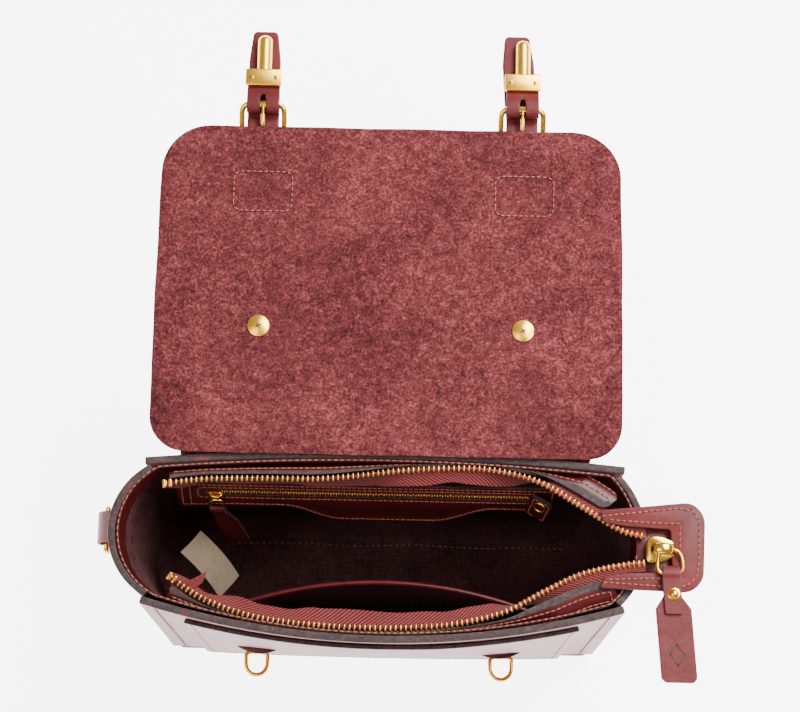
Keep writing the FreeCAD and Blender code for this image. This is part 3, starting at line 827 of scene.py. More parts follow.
def rowPlaces(name, count):
    line = smoothRow(rows[name])
    reach = np.concatenate([[0], np.cumsum([(b - a).length for a, b in zip(line, line[1:])])])
    out = -1 if name == "front" else 1
    xs, ys = [p.x for p in line], [p.y for p in line]

    def pointAt(s):
        return Vector((float(np.interp(s, reach, xs)), float(np.interp(s, reach, ys))))
    places = []
    for s in np.linspace(0, reach[-1], count):
        along = (pointAt(s + 1.5) - pointAt(s - 1.5)).normalized()
        places.append((pointAt(s), along, Vector((-along.y, along.x)) * out, s))
    return places, float(reach[-1])


def uvInMillimetres(piece, width, length):
    layer = piece.data.uv_layers.active or piece.data.uv_layers.new(name="UVMap")
    for loop in layer.data:
        loop.uv = (loop.uv[0] * width, loop.uv[1] * length)


def buildZipRow(name):
    s = zipMade
    count = 240
    places, length = rowPlaces(name, count + 1)
    deselectAll()
    bpy.ops.mesh.primitive_cube_add(size=1)
    tooth = named("tooth")
    tooth.scale = [c * mm for c in s["tooth"]]
    applyPlace(tooth)
    soft = tooth.modifiers.new("soft", "BEVEL")
    soft.width, soft.segments = 0.45 * mm, 1
    toothMesh = pattern(applyAll(tooth), toothBrass)
    wanted = np.arange(1.2, length, s["pitch"])
    fine, _ = rowPlaces(name, 3001)
    turns = []
    for at in wanted:
        point, along, out, _ = fine[min(int(round(at / length * 3000)), 3000)]
        seat = Vector((point.x, point.y, s["top"] - 1.15)) + Vector((*out, 0)) * 0.2
        turns.append(framed(seat, Vector((*along, 0)), (0, 0, 1)))
    teeth = copies(f"zipTeeth{name.title()}", toothMesh, turns)
    stops = []
    for end in (0, 3):
        point, along, out, _ = places[end]
        deselectAll()
        bpy.ops.mesh.primitive_cube_add(size=1)
        stop = named("endStop")
        seat = framed(Vector((point.x, point.y, s["top"] - 1.2)), Vector((*along, 0)), (0, 0, 1))
        stop.matrix_world = seat @ Matrix.Diagonal((*[c * mm for c in s["stop"]], 1))
        applyPlace(stop)
        softStop = stop.modifiers.new("soft", "BEVEL")
        softStop.width, softStop.segments = 0.7 * mm, 3
        stops.append(softShade(applyAll(paint(stop, toothBrass))))
    ready(joined(f"zipTeeth{name.title()}", [teeth, *stops]), "bag", "zip_brass", f"zip_chain_{name}")

    def placed(u, w):
        point, along, out, at = places[int(round(w * count))]
        angle = math.radians(ease(s["tilt"][name], point.x) + wave(at, 3, 1, 24, 9))
        wide = ease(s["width"][name], point.x) + wave(at, 9, 2, 17, 3.0) + 0.5 * math.sin(at / 5.2)
        reach = 0.4 + u * wide
        curl = angle + math.radians(18) * u * math.sin(angle)
        side = reach * math.cos(curl)
        return point.x + out.x * side, point.y + out.y * side, s["top"] - 1.3 - reach * math.sin(curl)
    tape = gridSheet(f"zipTape{name.title()}", 8, count, placed, (zipTape,))
    uvInMillimetres(tape, 9, length)
    thicken(tape, s["tape"], side=0, edge=0)
    ready(tape, "bag", "zip_cloth", f"zip_tape_{name}")
    core = [(p.x, p.y, s["top"] - 1.2) for p, _, _, _ in places[::6]]
    ready(wire(f"zipCore{name.title()}", core, 1.0, zipTape, sides=2), "bag", "zip_cloth")


tapeTail = dict(start=(-116, -27, 186.6), run=(18, 5.5, -3.0), bow=2.6, lift=1.4, width=6.4, slant=2.0)


def buildTapeTail():
    s = tapeTail

    def placed(u, w):
        x, y, z = (a + b * w for a, b in zip(s["start"], s["run"]))
        rise = math.sin(math.pi * w)
        lift = s["lift"] * rise * (1 if u > 0.5 else 0.4)
        return x + (u - 0.5) * s["slant"], y - s["bow"] * rise + (u - 0.5) * s["width"], z + lift
    tail = gridSheet("zipTail", 8, 24, placed, (zipTape,))
    uvInMillimetres(tail, 6, 19)
    thicken(tail, zipMade["tape"], side=0, edge=0)
    ready(tail, "bag", "zip_cloth")


placket = dict(
    thick=1.6, width=13.5,
    front=dict(low=-113, high=126, near=[(-113, 2.9), (40, 2.9), (75, 4.2), (105, 6.4), (126, 6.4)]),
    back=dict(low=-119, high=121, near=[(-119, 2.9), (55, 2.9), (80, 4.2), (105, 5.6), (121, 5.6)]),
)


def buildPlacket(name):
    s, side = placket, placket[name]
    count = 200
    every, _ = rowPlaces(name, 400)
    inside = [p for p in every if side["low"] <= p[0].x <= side["high"]]
    last = inside[-1][3]

    def edgePlace(n, w, proud=0.0):
        point, along, out, at = inside[min(int(round(n * (len(inside) - 1))), len(inside) - 1)]
        near = ease(side["near"], point.x)
        wallIn = abs(wallY(name.title(), point.x, 188)) - walls["thick"] - 1.6
        gap = (wallIn - abs(point.y)) / max(abs(out.y), 0.4) - near - 0.6
        half = s["width"] / 2
        fromEnd = min(last - at, half)
        opening = math.sqrt(max(1 - (1 - fromEnd / half) ** 2, 0.0004))
        across = half + (2 * w - 1) * half * opening
        lateral = min(s["width"] * 0.93, max(gap, 0.4))
        drop = math.sqrt(max(s["width"] ** 2 - lateral ** 2, 0.01))
        share = across / s["width"] * math.pi / 2
        reach = near + lateral * math.sin(share) + proud * 0.3
        z = 188.2 - drop * (1 - math.cos(share)) + proud
        return point.x + out.x * reach, point.y + out.y * reach, z

    def placed(u, w):
        return edgePlace(w, u)
    leaf = gridSheet(f"placket{name.title()}", 14, count, placed, (grainShaded, rawEdge))
    for face in leaf.data.polygons:
        column = min(v % 15 for v in face.vertices)
        if column < 3:
            face.material_index = 1
    if leaf.data.polygons[len(leaf.data.polygons) // 2].normal.z < 0:
        leaf.data.flip_normals()
    thicken(leaf, s["thick"], side=-1)
    line = [edgePlace(n, 0.36, 0.1) for n in np.linspace(0.01, 0.985, 200)]
    line += [edgePlace(0.985, w, 0.1) for w in np.linspace(0.3, 0.75, 6)]
    line += [edgePlace(n, 0.78, 0.1) for n in np.linspace(0.98, 0.7, 60)]
    stitches = stitchLine(f"placketStitches{name}", line, (0, 0, 1))
    ready(joined(f"placket{name.title()}", [leaf, stitches]), "bag", "burgundy_leather", f"placket_{name}")


for rowName in ("front", "back"):
    buildZipRow(rowName)
    buildPlacket(rowName)
buildTapeTail()
print("stage: main zip")

# the zip's end tab, slider, bail and pull

endTab = dict(low=188.7, high=191.2, start=119, end=177, near=-25.5, far=24.5)


def buildEndTab():
    s = endTab
    corners = [(s["start"], -24), (s["end"] - 8, s["near"]), (s["end"] - 1, s["near"] + 7),
               (s["end"], 17), (s["end"] - 7, s["far"]), (s["start"], 19), (s["start"] + 2, 12.5),
               (132, 10.5), (158, 9.2), (159, -14.8), (134, -15.4), (s["start"] + 3, -17.5)]
    outer = roundCorners(corners, [2, 8, 8, 9, 9, 2, 2, 8, 1.5, 1.5, 8, 2], steps=7)
    plate = cutPlate("zipEndTab", [outer], s["low"], s["high"], (grain, rawEdge), soften=0.5)
    for vertex in plate.data.vertices:
        if vertex.co.z > s["high"] * mm - 0.0008:
            vertex.co.z += wave(vertex.co.x / mm, vertex.co.y / mm, 4, 16, 0.3) * mm
    z = s["high"] + 0.05
    outside = [(121, -20.8), (150, -22.2), (166, -22), (172, -17), (173.4, -8), (173.4, 14),
               (170, 19.6), (162, 20.8), (121, 15.8)]
    inside = [(124, -19.2), (150, -18), (163, -17.8), (163, 12.4), (150, 12.4), (124, 13.8)]
    seams = [stitchLine(f"tabSeam{n}", [(x, y, z) for x, y in line], (0, 0, 1))
             for n, line in enumerate((outside, inside))]
    # a dark leather plate hung under the slot, so that the slot shows dark round the slider: a sheet
    # standing in for the shade under the tab
    tabShadePlate = cutPlate("tabSlotShadePlate", [roundedBox(12.8, 15.9, 2, (152.4, -3.3))], 183.4, 184.4,
                       (grainShaded, rawEdge))
    ready(joined("zipEndTab", [plate, tabShadePlate, *seams]), "bag", "burgundy_leather", "zip_end_tab")


slider = dict(middle=-2, top=(190.2, 192.0), bottom=(185.2, 186.6), crownWire=1.15, crownWide=2.6,
              bailZ=193.5, bailBar=-15.2, bailWire=1.0)


def buildSlider():
    s = slider
    shield = roundCorners([(145, -9), (152, -9.2), (160.2, -6), (160.2, 2), (152, 5.2), (145, 5)],
                          [6, 5, 3, 3, 5, 6])
    top = cutPlate("sliderTop", [shield], *s["top"], (goldMetal,), soften=0.7, edge=0)
    bottom = cutPlate("sliderBottom", [shield], *s["bottom"], (goldMetal,), soften=0.5, edge=0)
    post = cutPlate("sliderPost", [roundedBox(2, 1.6, 1.2, (149, s["middle"]))], 186, 190.6,
                    (goldMetal,), soften=0, edge=0)
    arch = [(147.6, 191.4), (148.2, 194.6), (151, 196.2), (155.5, 196.2), (158.6, 194.8), (159.2, 191.4)]
    crown = wire("sliderCrown", [(x, s["middle"], z) for x, z in arch], s["crownWire"], goldMetal)
    for vertex in crown.data.vertices:
        vertex.co.y = (vertex.co.y - s["middle"] * mm) * s["crownWide"] + s["middle"] * mm
    ready(joined("zipSlider", [top, bottom, post, crown]), "slider", "gold_metal", "zip_slider")
    z, bar = s["bailZ"], s["bailBar"]
    hoop = [(157, -2, z), (160.5, -2.3, z + 0.6), (163.6, -5, z + 0.3), (164.4, -10, z), (164, -14.4, z),
            (161, bar, z), (157, bar, z), (152.6, bar, z), (150.2, -14, z), (150.3, -9, z),
            (150.8, -4.6, z + 0.2), (153.4, -2.2, z + 0.3)]
    ready(wire("sliderBail", hoop, s["bailWire"], goldMetal, closed=True), "bail", "gold_metal",
          "slider_bail")


pull = dict(x=158, lean=4.5, thick=1.8, half=9.8, neck=4.9, underTab=44, studAway=12, studBase=3.5,
            dome=2.6)


def strip(name, path, halfAt, materials, across=12, count=60, xMid=0.0):
    # a leather strip whose middle line follows (y, z) points, its half width set by how far along it is
    line = smoothRow([(a, b) for a, b in path], 12)
    reach = np.concatenate([[0], np.cumsum([(b - a).length for a, b in zip(line, line[1:])])])

    def placed(u, w):
        at = w * reach[-1]
        y = float(np.interp(at, reach, [p.x for p in line]))
        z = float(np.interp(at, reach, [p.y for p in line]))
        return xMid + (2 * u - 1) * halfAt(at, float(reach[-1])), y, z
    piece = gridSheet(name, across, count, placed, materials)
    return piece, float(reach[-1])


def buildPull():
    s = pull
    hang, z = slider["bailBar"], slider["bailZ"]
    path = [(-38, z + 1.9), (-28, z + 1.9), (-19, z + 2.1), (hang - 0.5, z + 2.7), (hang + 2.6, z + 1.2),
            (hang + 2.6, z - 1.0), (hang - 0.5, z - 1.9), (-20, z - 0.7), (-28, z - 0.2), (-50, z + 0.1),
            (-75, z + 0.3)]
    tabLength = s["underTab"]

    def halfAt(at, total):
        left = total - at
        if at < tabLength:
            return s["neck"] if at > 2 else s["neck"] - 0.8 * (1 - at / 2) ** 2
        wide = s["neck"] + (s["half"] - s["neck"]) * min(max((at - tabLength) / 7, 0), 1)
        return wide - 2.6 * (1 - min(left / 3, 1)) ** 2
    tag, _ = strip("zipPull", path, halfAt, (grain, rawEdge, suede), across=16, count=150)
    if tag.data.polygons[5].normal.z < 0:
        tag.data.flip_normals()
    thicken(tag, s["thick"], side=0, back=0, soften=0.25)
    stamp = []
    for sx, sy in ((1, 1), (1, -1), (-1, 1), (-1, -1)):
        deselectAll()
        bpy.ops.mesh.primitive_cube_add(size=1)
        bar = named("stampBar")
        bar.scale = (7.4 * mm, 0.7 * mm, 0.5 * mm)
        bar.rotation_euler.z = -sx * sy * math.radians(54)
        bar.location = (sx * 2.1 * mm, (sy * 2.9 - 60) * mm, (z + 1.02) * mm)
        stamp.append(applyPlace(paint(bar, rawEdge)))
    tag = joined("zipPull", [tag, *stamp])
    lean = math.radians(s["lean"])
    for vertex in tag.data.vertices:
        away = vertex.co.y - hang * mm
        vertex.co.x += s["x"] * mm - away * math.tan(lean) - (0.0006 if away < 0 else 0)
    ready(softShade(tag), "pull", "burgundy_leather", "zip_pull")
    x, y = s["x"] + s["studAway"] * math.tan(lean), hang - s["studAway"]
    base = cutPlate("pullStud", [disc(s["studBase"], (x, y), 8)], z + 2.6, z + 3.3, (goldMetal,), edge=0)
    deselectAll()
    bpy.ops.mesh.primitive_uv_sphere_add(segments=24, ring_count=12, radius=s["dome"] * mm,
                                         location=(x * mm, y * mm, (z + 3.2) * mm))
    dome = named("dome")
    dome.scale.z = 0.6
    applyPlace(paint(dome, goldMetal))
    ready(softShade(joined("pullStud", [base, dome])), "pull", "gold_metal", "pull_stud")


buildEndTab()
buildSlider()
buildPull()
print("stage: end tab and slider")

# the flap

flap = dict(near=46.6, thick=2.4, farCorner=27, nearCorner=20, roll=9, high=194.2)
hinge = dict(half=114, low=112, wall=184, bend=0.6, end=70, top=190.2, thick=1.8, seams=(0.05, 0.14))


def flapHalfAt(y):
    s = flap
    share = (y - s["near"]) / 185
    half = flapHalf + 0.8 * math.sin(math.pi * share) - 1.2 * share + 0.6
    for edge, corner in ((y - s["near"], s["nearCorner"]), (flapEnd - y, s["farCorner"])):
        if edge < corner:
            half -= corner - math.sqrt(max(corner ** 2 - (corner - edge) ** 2, 0))
    return half


def buildFlap():
    s = flap
    length = flapEnd - s["near"]

    def placed(u, w):
        even = 0.45 * w + 0.55 * (1 - math.cos(math.pi * w)) / 2
        y = s["near"] + length * even
        x = (2 * u - 1) * flapHalfAt(y)
        rolled = max(0, 1 - (y - s["near"]) / s["roll"])
        corner = max(0, abs(x) / flapHalf - 0.86) / 0.14
        z = s["high"] - 1.2 * rolled ** 2 - 1.4 * rolled * corner + wave(x, y, 3, 90, 0.9)
        z -= 0.8 * max(0, abs(x) / flapHalf - 0.9) / 0.1
        far = max(0, 1 - (flapEnd - y) / 10)
        return x + wave(3, y, 1, 30, 0.35), y + wave(x, 3, 1, 30, 0.35) * (rolled + far), z - 0.5 * far
    main = gridSheet("flapLeather", 130, 110, placed, (suede, rawEdge, grain))
    thicken(main, s["thick"], back=2, soften=0.5)
    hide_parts("flap_top", "flap_front")
    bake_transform(main)


def hinged(u, w):
    # up the back wall, then over to the flap's underside
    s = hinge
    x = (2 * u - 1) * s["half"]
    z = s["low"] + w / s["bend"] * (s["wall"] - s["low"]) if w < s["bend"] else s["wall"]
    wallAt = wallY("Back", x, min(z, s["wall"])) + 2.5
    if w <= s["bend"]:
        return x, wallAt, z
    t = (w - s["bend"]) / (1 - s["bend"])
    y = wallAt + (s["end"] - wallAt) * (1 - math.cos(t * math.pi / 2)) ** 1.2
    return x, y, s["wall"] + (s["top"] - s["wall"]) * math.sin(min(t * 1.25, 1) * math.pi / 2)


def buildHinge():
    s = hinge
    leaf = gridSheet("flapHinge", 60, 40, hinged, (grain, rawEdge, suede))
    leaf.data.flip_normals()
    thicken(leaf, s["thick"], back=2, soften=0.3)
    made = []
    for number, w in enumerate(s["seams"]):
        line = [Vector(hinged(u, w)) + Vector((0, 0.1, 0)) for u in np.linspace(0.03, 0.97, 80)]
        made.append(stitchLine(f"hingeSeam{number}", line, (0, 1, 0)))
    leaf = joined("flapHinge", [leaf, *made])
    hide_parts("flap_base")
    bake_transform(leaf)


def surfaceZ(x, y):
    return flap["high"] + wave(x, y, 3, 90, 0.9)


trim = dict(shift=1.5, patchY=196.8, patch=(16.5, 11.5), keeper=(18, 13, 5), studY=118.5, stud=6.1)


def buildFlapTrim():
    s = trim
    for name, sign in sides:
        x0, y0 = sign * strapX + s["shift"], s["patchY"]
        wide, deep = s["patch"]
        corners = [(x0 - wide, y0 - deep), (x0 + wide, y0 - deep), (x0 + wide, y0 + deep),
                   (x0 - wide, y0 + deep)]
        box = [(x, y, surfaceZ(x, y) + 0.32) for x, y in roundCorners(corners, [5] * 4)]
        seam = stitchLine(f"patchStitches{name.title()}", box + box[:1], (0, 0, 1))
        under = cutPlate(f"keeper{name.title()}", [roundedBox(*s["keeper"], (sign * strapX, y0))],
                         187.6, 189.0, (grain, rawEdge), soften=0.4)
        ready(joined(f"keeper{name.title()}", [under, seam]), "flap_front", "burgundy_leather",
              f"keeper_{name}")
    heads = []
    for name, sign in sides:
        x, y = sign * strapX + s["shift"], s["studY"]
        z = surfaceZ(x, y)
        heads.append(cutPlate("studHead", [disc(s["stud"], (x, y), 8)], z - 0.2, z + 1.1,
                              (goldBrushed,), soften=0.5, edge=0))
        # a thin dark cross on each stud's head, in the raw edge colour: painted shade of the cut slots
        for turn in (0.5, 0.5 + math.pi / 2):
            deselectAll()
            bpy.ops.mesh.primitive_cube_add(size=1, location=(x * mm, y * mm, (z + 1.12) * mm))
            crossShade = named("studCrossShade")
            crossShade.scale = (3.4 * mm, 0.7 * mm, 0.1 * mm)
            crossShade.rotation_euler.z = turn
            heads.append(applyPlace(paint(crossShade, rawEdge)))
    studs = joined("flapStuds", heads)
    ready(studs, "flap_top", "gold_metal", "flap_studs")


strap = dict(
    half=9.0, thick=2.2, rightSkew=-3.2,
    upper=[(112, 191.0), (140, 190.9), (164, 190.7), (200, 190.6)],
    tail=[(200, 190.4), (225, 190.4), (236, 190.2), (246, 189.3), (254, 189.6), (264, 190.8),
          (280, 191.2), (293.5, 190.9)],
)


def buildStraps():
    s = strap
    for name, sign in sides:
        x = sign * strapX
        tag = name.title()

        def even(at, total):
            return s["half"] - 2.5 * (1 - min(at / 4, 1)) ** 2
        upper, _ = strip(f"strapUpper{tag}", s["upper"], even, (grain, rawEdge, suede), count=70, xMid=x)
        thicken(upper, s["thick"], side=-1, back=0, soften=0.4)
        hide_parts(f"strap_upper_{name}")
        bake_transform(upper)

        def tapered(at, total):
            left = total - at
            taper = s["half"] - 2.0 * max(0, 1 - left / 17)
            return taper - 1.6 * (1 - min(left / 2, 1)) ** 2
        tail, _ = strip(f"strapTail{tag}", s["tail"], tapered, (grain, rawEdge, suede), count=80, xMid=x)
        skew = 0.0 if sign < 0 else s["rightSkew"]
        for vertex in tail.data.vertices:
            vertex.co.x += skew * mm * min(max((vertex.co.y / mm - 245) / 45, 0), 1) ** 0.7
        thicken(tail, s["thick"], side=-1, back=0, soften=0.4)
        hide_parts(f"strap_middle_{name}", f"strap_tail_{name}")
        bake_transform(tail)


buckle = dict(half=12.2, corner=4.6, wireRadius=1.65, nearY=232.3, nearZ=186.6, heelY=248.3, heelZ=195,
              collar=(2.35, 3.6), tongueWire=1.15)
peg = dict(chapeHalf=9.2, chapeThick=1.5, slotHalf=1.85, plateY=263.5, plate=(10.4, 4.9, 0.9),
           stemY=276.2, stemZ=193.8, stemRadius=4.3, stemLong=26.8, stemFlat=192.9, screwApart=7)


def buildBuckle(name, sign):
    s = buckle
    x, tag = sign * strapX, name.title()
    outline = []
    length = math.hypot(s["heelY"] - s["nearY"], s["heelZ"] - s["nearZ"])
    for px, along in roundedBox(s["half"], length / 2, s["corner"], (0, length / 2), steps=5):
        t = along / length
        outline.append((x + px, s["nearY"] + (s["heelY"] - s["nearY"]) * t,
                        s["nearZ"] + (s["heelZ"] - s["nearZ"]) * t))
    ready(wire(f"buckleFrame{tag}", outline, s["wireRadius"], goldMetal, closed=True),
          f"strap_end_{name}", "gold_metal", f"buckle_frame_{name}")
    y, z = s["heelY"], s["heelZ"]
    deselectAll()
    radius, depth = s["collar"]
    bpy.ops.mesh.primitive_cylinder_add(vertices=28, radius=radius * mm, depth=depth * mm,
                                        location=(x * mm, y * mm, z * mm), rotation=(0, math.pi / 2, 0))
    collar = applyPlace(paint(named("collar"), goldMetal))
    route = [(x, y - 1.4, z + 1.0), (x, y - 5, z + 0.9), (x, y - 9, z + 0.1), (x, y - 12.1, z - 1.3)]
    tongue = wire("tongue", route, s["tongueWire"], goldMetal)
    ready(softShade(joined(f"prong{tag}", [collar, tongue])), f"prong_{name}", "gold_metal",
          f"prong_{name}")


def buildChape(name, sign):
    # a leather loop round the buckle's heel bar, slotted for the prong
    s = peg
    x, y, z = sign * strapX, buckle["heelY"], buckle["heelZ"]
    tag = name.title()
    path = [(269.5, 192.3), (256, 192.3), (y + 1.5, z - 3.1), (y - 2.8, z - 2.9), (y - 4.4, z - 0.8),
            (y - 3.6, z + 1.9), (y - 0.4, z + 3.1), (y + 3.6, z + 2.5), (y + 8, z + 0.6),
            (y + 11.5, z - 0.5), (269.5, z - 0.5)]
    chape, _ = strip(f"chape{tag}", path, lambda at, total: s["chapeHalf"], (grain, rawEdge, suede),
                     across=20, count=100, xMid=x)
    pick(chape)
    bpy.ops.object.mode_set(mode="EDIT")
    mesh = bmesh.from_edit_mesh(chape.data)
    gone = [f for f in mesh.faces if abs(f.calc_center_median().x / mm - x) < s["slotHalf"]
            and f.calc_center_median().y / mm < y + 5.5]
    bmesh.ops.delete(mesh, geom=gone, context="FACES")
    bmesh.update_edit_mesh(chape.data)
    bpy.ops.object.mode_set(mode="OBJECT")
    thicken(chape, s["chapeThick"], side=0, back=0, soften=0.2)
    lipLine = [(x - 2.3, y - 3.4, z + 2.9), (x - 2.3, y + 1, z + 3.5), (x - 2.1, y + 4.4, z + 2.8),
               (x, y + 6.6, z + 2.0), (x + 2.1, y + 4.4, z + 2.8), (x + 2.3, y + 1, z + 3.5),
               (x + 2.3, y - 3.4, z + 2.9)]
    chape = joined(f"chape{tag}", [chape, wire("slotLip", lipLine, 0.5, grain)])
    ready(chape, f"peg_{name}", "burgundy_leather", f"chape_{name}")


def buildPeg(name, sign):
    s = peg
    x, tag = sign * strapX, name.title()
    plate = cutPlate("pegPlate", [roundedBox(*s["plate"], (x, s["plateY"]))], 195.2, 198.3,
                     (goldBrushed,), soften=0.5, edge=0)
    deselectAll()
    bpy.ops.mesh.primitive_cylinder_add(vertices=40, radius=s["stemRadius"] * mm,
                                        depth=s["stemLong"] * mm, rotation=(math.pi / 2, 0, 0),
                                        location=(x * mm, s["stemY"] * mm, s["stemZ"] * mm))
    stem = pick(applyPlace(paint(named("pegStem"), goldBrushed)))
    rounding = stem.modifiers.new("round", "BEVEL")
    rounding.width, rounding.segments, rounding.limit_method = 3.6 * mm, 8, "ANGLE"
    rounding.angle_limit = math.radians(60)
    applyAll(stem)
    bpy.ops.object.mode_set(mode="EDIT")
    bpy.ops.mesh.select_all(action="SELECT")
    bpy.ops.mesh.bisect(plane_co=(x * mm, 0.27, s["stemFlat"] * mm), plane_no=(0, 0, 1),
                        clear_inner=True, use_fill=True)
    bpy.ops.object.mode_set(mode="OBJECT")
    ready(softShade(joined(f"peg{tag}", [plate, softShade(stem, 50)]), 45), f"peg_{name}",
          "gold_metal", f"peg_{name}")
    heads = []
    for at in (x - s["screwApart"], x + s["screwApart"]):
        middle = (at, s["plateY"] - 0.4)
        heads.append(cutPlate("screw", [disc(1.25, middle, 5)], 198.1, 198.65, (toothBrass,),
                              soften=0.2, edge=0))
        # a thin dark bar on each screw's head: painted shade of the screw's slot
        heads.append(cutPlate("screwSlotShade", [roundedBox(0.9, 0.18, 0.05, middle, steps=1)],
                              198.6, 198.7, (rawEdge,), soften=0, edge=0))
    ready(joined(f"pegScrews{tag}", heads), f"peg_{name}", "gold_metal", f"peg_screws_{name}")


buildFlap()
buildHinge()
buildFlapTrim()
buildStraps()
for sideName, sideSign in sides:
    buildBuckle(sideName, sideSign)
    buildChape(sideName, sideSign)
    buildPeg(sideName, sideSign)
print("stage: flap and straps")


# the inner zipped pocket on the back wall

inner = dict(lean=19, x=-10, topY=34, topZ=rimZ - 18, height=44, half=107, thick=1.3, slotY=11,
             slotHalf=92.3, slotHigh=3.1, seamZ=1.35, tooth=(0.85, 2.6, 1.3), pitch=1.5, sliderAt=-85,
             linkWire=0.75, pullThick=1.5)
pocketBag = dict(start=-108, wide=196, low=84, high=168, y=37.4, lean=2.2, belly=5.2, thick=0.8)


def onLean():
    s = inner
    lean = math.radians(s["lean"])
    up = Vector((0, math.sin(lean), math.cos(lean)))
    out = Vector((0, -math.cos(lean), math.sin(lean)))
    at = Vector((s["x"], s["topY"], s["topZ"])) - up * s["height"] / 2
    return Matrix(((1, 0, 0, at.x * mm), (0, up.y, out.y, at.y * mm), (0, up.z, out.z, at.z * mm),
                   (0, 0, 0, 1)))


def laid(piece):
    piece.data.transform(onLean())
    return piece


def lobe(x):
    rise = min(max((x + 48) / 34, 0), 1) * min(max((72 - x) / 34, 0), 1)
    return -4.5 - 15.5 * rise ** 2 * (3 - 2 * rise) - 2.0 * max(0, 1 - (x + 107) / 30)


def buildInnerFacing():
    s = inner
    top, half, z = s["height"] / 2, s["half"], s["seamZ"]
    low = [(x, lobe(x)) for x in np.linspace(-half + 3, half - 3, 70)]
    outline = [(-half, top - 3), (-half, lobe(-half) + 3), *low, (half, lobe(half) + 3),
               (half, top - 3), (half - 3, top), (-half + 3, top)]
    slot = roundedBox(s["slotHalf"], s["slotHigh"], 2.9, (0, s["slotY"]))
    plate = cutPlate("innerPocketFacing", [outline, slot], 0, s["thick"], (grainShaded, rawEdge),
                     soften=0.35)
    rimLine = [(*q, z) for q in roundedBox(s["slotHalf"] + 3, s["slotHigh"] + 2.6, 3, (0, s["slotY"]))]
    lower = [(x, lobe(x) + 2.6, z) for x in np.linspace(-half + 3, half - 3, 140)]
    upper = [(x, top - 2.2, z) for x in np.linspace(-half + 3, half - 3, 40)]
    ends = [[(x, y, z) for y in np.linspace(lobe(x) + 3, top - 2, 12)]
            for x in (-half + 2.6, -half + 7.2, half - 2.6)]
    lines = [rimLine + rimLine[:1], lower, upper, *ends]
    seams = [stitchLine(f"facingSeam{n}", line, (0, 0, 1), pitch=2.9) for n, line in enumerate(lines)]
    ready(laid(joined("innerPocketFacing", [plate, *seams])), "bag", "burgundy_leather",
          "inner_pocket_facing")


def buildInnerZip():
    s = inner

    def taped(u, w):
        lap = 0.3 - 0.3 * math.cos(4 * math.pi * u)
        return (2 * w - 1) * s["slotHalf"], s["slotY"] + (2 * u - 1) * 3.4, lap
    tape = gridSheet("innerZipTape", 8, 60, taped, (zipTape,))
    uvInMillimetres(tape, 7, 184)
    thicken(tape, 0.5, side=0, edge=0)
    deselectAll()
    bpy.ops.mesh.primitive_cube_add(size=1)
    tooth = named("fineTooth")
    tooth.scale = [c * mm for c in s["tooth"]]
    toothMesh = pattern(tooth, toothBrass)
    turns = []
    for number, x in enumerate(np.arange(-s["slotHalf"] + 9, s["slotHalf"] - 1, s["pitch"])):
        y = s["slotY"] + (0.35 if number % 2 else -0.35)
        turns.append(Matrix.Translation((x * mm, y * mm, 0.9 * mm)))
    teeth = copies("innerTeeth", toothMesh, turns)
    ready(laid(joined("innerZip", [tape, teeth])), "bag", "zip_cloth", "inner_zip")


def buildInnerPull():
    s = inner
    at, y = s["sliderAt"], s["slotY"]
    shield = roundCorners([(at - 4.5, y - 3.6), (at + 3, y - 2.6), (at + 4.5, y), (at + 3, y + 2.6),
                           (at - 4.5, y + 3.6)], [1.5, 2, 1.5, 2, 1.5])
    body = cutPlate("sliderBody", [shield], 1.65, 3.1, (goldMetal,), soften=0.5, edge=0)
    arch = [(at - 3.6, y, 2.8), (at - 3, y, 4.6), (at, y, 5.0), (at + 3, y, 4.4), (at + 3.4, y, 2.8)]
    bridge = wire("sliderBridge", arch, 0.9, goldMetal)
    for vertex in bridge.data.vertices:
        vertex.co.y = (vertex.co.y - y * mm) * 2 + y * mm
    ready(laid(joined("innerSlider", [body, bridge])), "inner_slider", "gold_metal", "inner_slider")
    hoop = [(at - 3.2, 8, 4.6), (at + 3.2, 8.4, 4.6), (at + 4.6, 4, 4.4), (at + 4.4, -1.4, 4.2),
            (at + 1.4, -3.4, 4.2), (at - 1.6, -3.2, 4.2), (at - 4.2, -0.8, 4.2), (at - 4.4, 4.4, 4.4)]
    link = wire("innerLink", hoop, s["linkWire"], goldMetal, closed=True)

    def hanging(along, total):
        left = total - along
        base = 4.2 if along < 18 else 4.2 + 2.4 * min((along - 18) / 8, 1)
        return base - 1.8 * (1 - min(left / 2.5, 1)) ** 2
    path = [(-8, 4.9), (-2.6, 5.6), (-0.9, 4.4), (-2.6, 3.2), (-10, 3.4), (-26, 3.6), (-41, 4.4)]
    puller, _ = strip("innerPull", path, hanging, (grainShaded, rawEdge, grainShaded), across=8, count=60,
                      xMid=at)
    for vertex in puller.data.vertices:
        vertex.co.x += max(0, -vertex.co.y - 0.003) * 0.28
    thicken(puller, s["pullThick"], side=0, back=0, soften=0.2)
    ready(laid(joined("innerPull", [puller, link])), "inner_pull", "burgundy_leather", "inner_pull")


def buildPocketBag():
    s = pocketBag

    def hung(u, w):
        x = s["start"] + s["wide"] * u
        z = s["low"] + (s["high"] - s["low"]) * w
        swell = math.sin(math.pi * w)
        belly = s["belly"] * swell * math.sin(math.pi * min(max(u, 0.02), 0.98)) ** 0.5
        return x, s["y"] - s["lean"] * w - belly + wave(x, 4, z * 0.5, 22, 1.4) * swell, z
    bag = gridSheet("innerPocketBag", 60, 30, hung, (liningCloth, liningCloth))
    thicken(bag, s["thick"], side=-1, edge=0)
    ready(bag, "bag", "lining_cloth", "inner_pocket_bag")


slip = dict(half=95, low=25, high=158, lowY=-38.4, highY=-20, gap=2.6, thick=0.9, bindingWire=1.55,
            bindingZ=160)


def slipArc(u, z, middle):
    s = slip
    corner = wallY("Front", s["half"], z) + walls["thick"] + s["gap"]
    return arcThrough((-s["half"], corner), (0, middle), (s["half"], corner), u)


